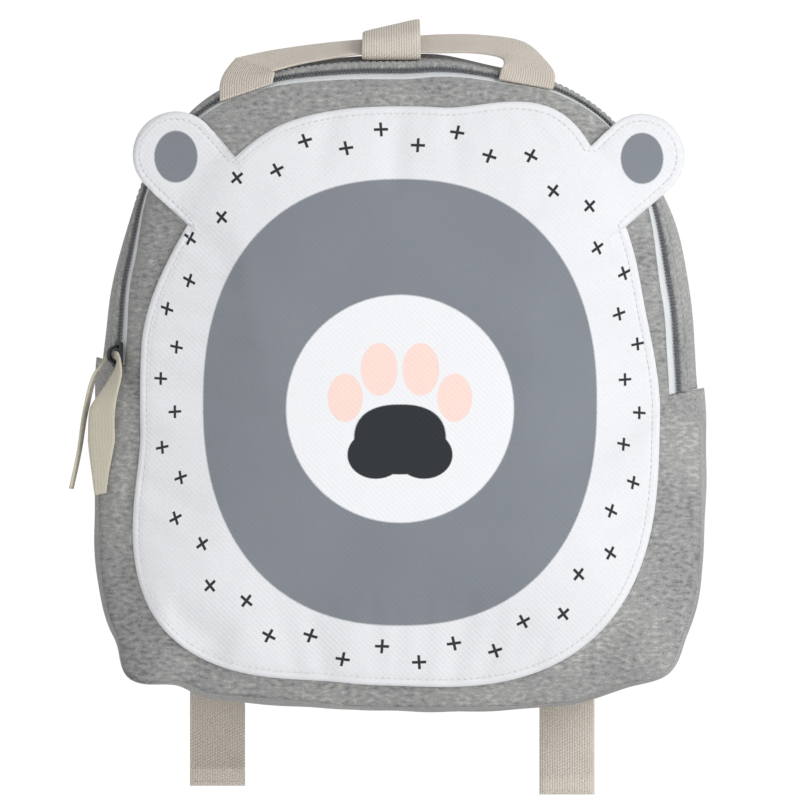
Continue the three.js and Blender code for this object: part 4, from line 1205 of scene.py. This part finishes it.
def loop_section():
    """Rows of (y, z): over the handle, down in front of it and back along the gusset."""

    def top(share, lift):
        """The place over the middle of the band, as depth and height."""
        p = upper_point(math.pi / 2, share, lift)
        return [float(p[1]), float(p[2])]

    lay, over = CLEARANCE + WEBBING_THICKNESS / 2, CLEARANCE + WEBBING_THICKNESS
    front = HANDLE_COURSE[5][0][1]
    front_at = top(front, 0)[0]
    crown = float(upper_point(math.pi / 2, 0.5, LOOP_RISE)[2])
    half, out = WEBBING_WIDTH / 2, front_at - over - LOOP_SLACK
    return np.array([
        top(0.995, lay + over), top(0.93, lay + over + LOOP_SLACK),
        *([front_at + half * behind, crown - under] for behind, under in LOOP_CREST),
        [out + 2.5, crown - 5.5], [out, top(front, HANDLE_LIFT + 1.7)[1]],
        [out + 0.6, top(front - 0.02, lay + 0.6)[1]], top(front - 0.01, lay),
        top(0.45, lay), top(0.7, lay), top(0.9, lay), top(0.995, lay),
    ])


loop_yz = loop_section()
loop_points = vec(LOOP_MIDDLE, loop_yz[:, 0], loop_yz[:, 1])
loop_line = curve(loop_points, np.linspace(0, 1, 400))
loop_reach = arc_length(loop_line)
loop_line = between_rows(np.linspace(0, loop_reach[-1], 140), loop_reach, loop_line)
risen = (loop_line[:, 2] - BELLY_TO_TOP) / (loop_yz[:, 1].max() - BELLY_TO_TOP)
loop_across = vec(1, 0, LOOP_ROLL * np.clip(risen, 0, 1))
hang_loop = band("hang_loop_webbing", loop_line, loop_across, LOOP_WIDTH, WEBBING_THICKNESS)
dress(hang_loop, CREAM_WEBBING, "webbing", "hang_loop")
tape(loop_line, LOOP_WIDTH)

# %% [markdown]
# ## Slider and its pull
#
# The slider is the black solid of the frame. The pull is a strip of soft cotton that goes through
# the slider's eye: one tail hangs in front of the bag, and the other one stands off the side.

# %% Slider frame and pull
SLIDER_LENGTH, SLIDER_THICKNESS, SLIDER_ABOVE_END, SLIDER_SHARE = 11.4, 2.0, 4.0, 0.018
PULL_WIDTH, PULL_THICKNESS, PULL_LENGTH, PULL_STAND_OFF = 13.0, 1.3, 64.0, 2.6
slider_angle = LEFT_END - SLIDER_ABOVE_END / HALF_WIDTH


def at_slider(turned, moved):
    """A place over the coil, turned along the zip or moved across it from the slider's middle."""
    foot = CLEARANCE * 2 + COIL_HEIGHT
    return upper_point(slider_angle + turned, SLIDER_SHARE + moved, foot)


half_turn = SLIDER_LENGTH / 2 / HALF_WIDTH
slider_along = unit(at_slider(half_turn, 0) - at_slider(-half_turn, 0))
slider_off = unit(np.cross(slider_along, at_slider(0, 0.02) - at_slider(0, -0.02)))
slider_off = -slider_off if slider_off[0] > 0 else slider_off
slider_across = np.cross(slider_along, slider_off)
eye = at_slider(0, 0) + slider_off * (SLIDER_THICKNESS + CLEARANCE + PULL_THICKNESS / 2)
outwards = slider_across if slider_across[1] > 0 else -slider_across


def hanging(down, right, back):
    """A place given from the eye, as shares of the pull's length."""
    return eye + np.array([right, back, -down]) * PULL_LENGTH


def in_front(down, right):
    """The same place moved to just in front of the bag."""
    p = hanging(down, right, 0)
    p[1] = front_inner_y(p[0], p[2]) - FRONT_WALL - PULL_THICKNESS - PULL_STAND_OFF
    return p


PULL_ROWS = (  # middle, direction across, share of the width
    (in_front(1, -0.095), (1, -0.2, 0.2), 0.42), (in_front(0.85, -0.095), (1, -0.25, 0.1), 0.62),
    (in_front(0.62, -0.088), (1, -0.3, 0), 1), (in_front(0.38, -0.078), (1, -0.35, 0), 0.96),
    (hanging(0.16, 0.01, -0.13), (0.7, -0.5, 0.3), 0.6),
    (hanging(0.03, 0.03, -0.09), slider_along, 0.29),
    (eye, slider_along, 0.27), (eye + outwards * 4, slider_along, 0.29),
    (hanging(0.12, -0.125, 0.015), (0.3, 1, 0.3), 0.6),
    (hanging(0.4, -0.203, 0.02), (0.15, 1, 0), 0.85),
    (hanging(0.7, -0.25, 0), (0.1, 1, 0), 0.85), (hanging(0.96, -0.305, -0.03), (0.1, 1, 0), 0.8),
)
pull_t = np.linspace(0, 1, 110)
pull_line = curve([row[0] for row in PULL_ROWS], pull_t)
stops = np.linspace(0, 1, len(PULL_ROWS))
turned = np.array([unit(np.array(row[1], float)) for row in PULL_ROWS])
turned *= np.where(turned[:, :1] + 0.01 * turned[:, 1:2] < 0, -1, 1)
pull_across = between_rows(pull_t, stops, turned)
pull_width = PULL_WIDTH * np.interp(pull_t, stops, [row[2] for row in PULL_ROWS])
pull = band("zip_pull_cotton", pull_line, pull_across, pull_width, PULL_THICKNESS, wide=11)
dress(pull, PULL_COTTON, "pull_tape", "zip_pull")
tape(pull_line, pull_width)

SOLID_FINISHES = (
    ("zip_slider", SLIDER_LACQUER),
    ("adjuster_left", ADJUSTER_PLASTIC),
    ("adjuster_right", ADJUSTER_PLASTIC),
)
for node, material in SOLID_FINISHES:
    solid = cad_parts[node]
    solid.data.materials.clear()
    solid.data.materials.append(material)
    print(node, "is finished in", material.name)

# %% [markdown]
# ## Shoulder straps
#
# The straps hang behind the bag. Each is jersey over foam, thick in the middle and thin at the
# bound edges, and ends in a flat tab round the upper bar of its adjuster.

# %% Adjusters' places
STRAP_WIDTH_TOP, STRAP_WIDTH_LOW, STRAP_THICKNESS, STRAP_EDGE = 52.0, 40.0, 10.0, 1.8
STRAP_TOP_SPREAD, STRAP_TOP_DROP, STRAP_BOW = 91.9, 44.0, 24.0
TAIL_SPREAD, TAIL_SHIFT = 162.1, -3.6
BAR, SLOT_GAP, LOCK_THICKNESS, BEND_SLACK = 3.0, 7.5, 3.0, 0.6
LOCK_Z = -BELLY_TO_BASE + 74
LOCK_Y = BACK_Y + BACK_WALL + BACK_CROWN + 15
TOP_BAR_Z = LOCK_Z + SLOT_GAP + BAR


def tail_x(side):
    """The middle of a tail, left or right of the bag's own middle."""
    return side * TAIL_SPREAD / 2 + TAIL_SHIFT


def round_bar(x, z, up):
    """Half a turn round a bar, from its rear side to its front side."""
    a = np.linspace(0, math.pi, 5)
    spread = BAR / 2 + CLEARANCE + BEND_SLACK + WEBBING_THICKNESS / 2
    off = LOCK_THICKNESS / 2 + CLEARANCE + BEND_SLACK + WEBBING_THICKNESS / 2
    return vec(x, LOCK_Y + off * np.cos(a), z + up * spread * np.sin(a))


# %% Straps
TAB_RISES = (8, 9)
STRAP_STOPS = np.array([  # share of the way down, share of the bow, width, fullness
    (0, 0.2, 0.85, 0.35), (0.06, 0.3, 1, 0.8), (0.2, 0.75, 1, 1), (0.4, 1, 1, 1),
    (0.6, 0.98, 1, 1), (0.76, 0.85, 1, 1), (0.84, 0.76, 0.9, 0.8),
])


def strap(name, side):
    """A pad whose thickness is a power curve across it, and a tab that turns round the bar."""
    share, bow, wide, full = STRAP_STOPS.T
    top_x, top_z, low_x = side * STRAP_TOP_SPREAD / 2, BELLY_TO_TOP - STRAP_TOP_DROP, tail_x(side)
    x, z = mix(top_x, low_x, smooth(share)), top_z - (top_z - TOP_BAR_Z) * share
    lie = CLEARANCE + STRAP_EDGE / 2
    padded = vec(x, back_outer_y(x, z) + lie + bow * STRAP_BOW, z)
    turned = round_bar(low_x, TOP_BAR_Z, -1)
    rear_end, front_end = turned[[0, -1]] + vec(0, 0, TAB_RISES)
    tab = np.concatenate([[rear_end], turned, [front_end]])
    flat = np.ones(len(tab))
    stops = np.linspace(0, 1, len(padded) + len(tab))
    t = np.linspace(0, 1, 160)
    middle = curve(np.concatenate([padded, tab]), t)

    def along(pad, web):
        """A value along the strap: one for each stop of the pad, and one for the whole tab."""
        return np.interp(t, stops, np.concatenate([pad + 0 * share, flat * web]))

    width = along(wide * mix(STRAP_WIDTH_TOP, STRAP_WIDTH_LOW, share), WEBBING_WIDTH)
    thick = along(full * STRAP_THICKNESS, WEBBING_THICKNESS)
    edge_thick = along(STRAP_EDGE, WEBBING_THICKNESS)
    thick = np.maximum(thick, edge_thick)
    swell = (1 - abs(band_places(25)) ** 2.2) ** 0.75
    half = mix(edge_thick[:, None], thick[:, None], swell) / 2
    piece = loft(name + "_pad", middle, TO_RIGHT, width, half)
    dress(piece, GREY_JERSEY, "jersey", name)


for side, name in ((-1, "shoulder_strap_left"), (1, "shoulder_strap_right")):
    strap(name, side)

# %% [markdown]
# ## Webbing below the straps
#
# A length of webbing starts in the base seam of the back, goes up through the adjuster and comes
# down again, and its hemmed tail is what shows below the bag.

# %% Lower webbing
HEM_THICKNESS, WEB_SEWN, WEB_FROM_SEAM, WEB_UNDER_LOCK = 3.6, 14.0, 6, 4
HEM_PROFILE = np.array([  # height over the tail's end, share of the hem's thickness
    (9.6, 0.42), (9, 0.9), (8, 1), (4, 1), (1.6, 1), (0.7, 0.9), (0.2, 0.7), (0, 0.4),
])
HEM_STITCHES = (7.8, 1.8)
TAIL_BELOW = {-1: 36.0, 1: 40.0}


def lower_webbing(name, side):
    """A curve from the base seam up the back, round the bar and down to the hem."""
    x, end_z = tail_x(side), -BELLY_TO_BASE - TAIL_BELOW[side]
    lay = CLEARANCE + WEBBING_THICKNESS / 2
    edges = np.array([x - WEBBING_WIDTH / 2, x + WEBBING_WIDTH / 2])

    def on_back(z):
        """A place against the back, clear of it at both edges of the webbing."""
        return np.array([x, float(back_outer_y(edges, z).max()) + lay, z])

    seam_z = -BELLY_TO_BASE + BACK_SEAM_INSET + WEB_FROM_SEAM
    bar = round_bar(x, LOCK_Z, 1)[::-1]
    low_z = LOCK_Z - SLOT_GAP - BAR * 1.5 - WEB_UNDER_LOCK
    sewn = on_back(seam_z + WEB_SEWN)
    course = np.array([
        on_back(seam_z), on_back(seam_z + WEB_SEWN / 2), sewn,
        [x, mix(sewn[1], bar[0, 1], 0.55), mix(seam_z + WEB_SEWN, low_z, 0.6)],
        [x, bar[0, 1], low_z], *bar, [x, bar[-1, 1], low_z], [x, bar[-1, 1], mix(low_z, end_z, 0.5)],
    ])
    web = curve(course, np.linspace(0, 1, 150))
    hem_up, hem_thick = HEM_PROFILE.T
    middle = np.concatenate([web, vec(x, bar[-1, 1], end_z + hem_up)])
    thick = np.concatenate([np.full(len(web), WEBBING_THICKNESS), hem_thick * HEM_THICKNESS])
    piece = band(name + "_twill", middle, TO_RIGHT, WEBBING_WIDTH, thick)
    dress(piece, CREAM_WEBBING, "webbing", name)
    tape(middle, WEBBING_WIDTH)
    for k, up in enumerate(HEM_STITCHES):
        centre = np.array([x, bar[-1, 1] - HEM_THICKNESS / 2 - 0.1, end_z + up])
        cross_stitches(f"{name}_hem_{k}", centre, TO_RIGHT, TO_VIEWER, 0.9)


for side, name in ((-1, "lower_webbing_left"), (1, "lower_webbing_right")):
    lower_webbing(name, side)

# %% [markdown]
# ## Stage, light and camera
#
# The bag hangs 1.2 m over a pale round floor in a white room. A room painted node by node is
# easier to light than one built of walls: it is bright at the horizon, so the picture's ground is
# white, and its ceiling is dimmer, so that the lamps can model the cloth. Large soft lamps give
# that gentle shade, the main one from the upper right and a weaker one from low in front, which
# reaches the tails under the bag. The camera stands far off with a long lens, level with the bag,
# as for a catalogue picture.

# %% Floor and room
FLOOR_Z, FLOOR_RADIUS = -1.2, 12.0
FLOOR_CORNERS = 96
CEILING_LIGHT, HORIZON_LIGHT, CEILING_FROM, HORIZON_TO = 0.46, 1.02, 0.25, 0.06


def floor():
    """A disc, as a fan of triangles."""
    i = np.arange(FLOOR_CORNERS)
    a = i * 2 * math.pi / FLOOR_CORNERS
    rim = vec(FLOOR_RADIUS * np.cos(a), FLOOR_RADIUS * np.sin(a), FLOOR_Z)
    points = np.concatenate([rim, [[0, 0, FLOOR_Z]]])
    faces = np.stack([i, np.roll(i, -1), np.full_like(i, FLOOR_CORNERS)], axis=-1)
    mesh = bpy.data.meshes.new("floor")
    mesh.from_pydata(points.tolist(), [], faces.tolist())
    piece = bpy.data.objects.new("floor", mesh)
    bpy.context.scene.collection.objects.link(piece)
    paper = Recipe("pale_paper")
    grain = paper.noise(paper.place(), 2.0)
    colour = paper.blend(grain, srgb(240, 240, 240), srgb(245, 245, 245))
    mesh.materials.append(paper.finish(colour, grain, 0.02, 0.95))


def room():
    """Brightness by the height of the direction: an S-shaped step above the horizon."""
    world = bpy.data.worlds.new("white_room")
    world.use_nodes = True
    tree = world.node_tree
    split = tree.nodes.new("ShaderNodeSeparateXYZ")
    step = s_step(tree, HORIZON_TO, CEILING_FROM, HORIZON_LIGHT, CEILING_LIGHT)
    tree.links.new(tree.nodes.new("ShaderNodeTexCoord").outputs["Generated"], split.inputs[0])
    tree.links.new(split.outputs["Z"], step.inputs["Value"])
    tree.links.new(step.outputs["Result"], tree.nodes["Background"].inputs["Strength"])
    tree.nodes["Background"].inputs["Color"].default_value = (1, 1, 1, 1)
    bpy.context.scene.world = world


floor()
room()
print("floor", FLOOR_RADIUS * 2, "m across")


# %% Lamps and camera
LAMPS = (  # name, place, size in metres, watts
    ("key", (1.9, -1.5, 1.0), 1.1, 34), ("front", (0.3, -2.4, -0.25), 0.9, 15),
    ("rear", (0.2, 1.8, 1.3), 1.4, 12),
)
VIEW_WIDTH, VIEW_DISTANCE = 0.368, 8.0
view_centre = to_frame([0.0, 0.0, 25.0])


def lamp(name, place, size, power):
    """A square area lamp that looks at the middle of the view."""
    data = bpy.data.lights.new(name, "AREA")
    data.size, data.energy = size, power
    piece = bpy.data.objects.new(name, data)
    bpy.context.scene.collection.objects.link(piece)
    x, y, z = view_centre - np.array(place)
    piece.location = place
    piece.rotation_euler = (math.atan2(math.hypot(x, y), -z), 0, math.atan2(y, x) - math.pi / 2)


for row in LAMPS:
    lamp(*row)

camera_data = bpy.data.cameras.new("camera")
camera_data.lens = camera_data.sensor_width * VIEW_DISTANCE / VIEW_WIDTH
camera = bpy.data.objects.new("camera", camera_data)
bpy.context.scene.collection.objects.link(camera)
camera.location = view_centre - np.array([0.0, VIEW_DISTANCE, 0.0])
camera.rotation_euler = (math.pi / 2, 0, 0)
bpy.context.scene.camera = camera
bpy.context.scene.view_settings.view_transform = "Standard"
print(len(LAMPS), "lamps, and a lens of", round(camera_data.lens, 1), "mm")
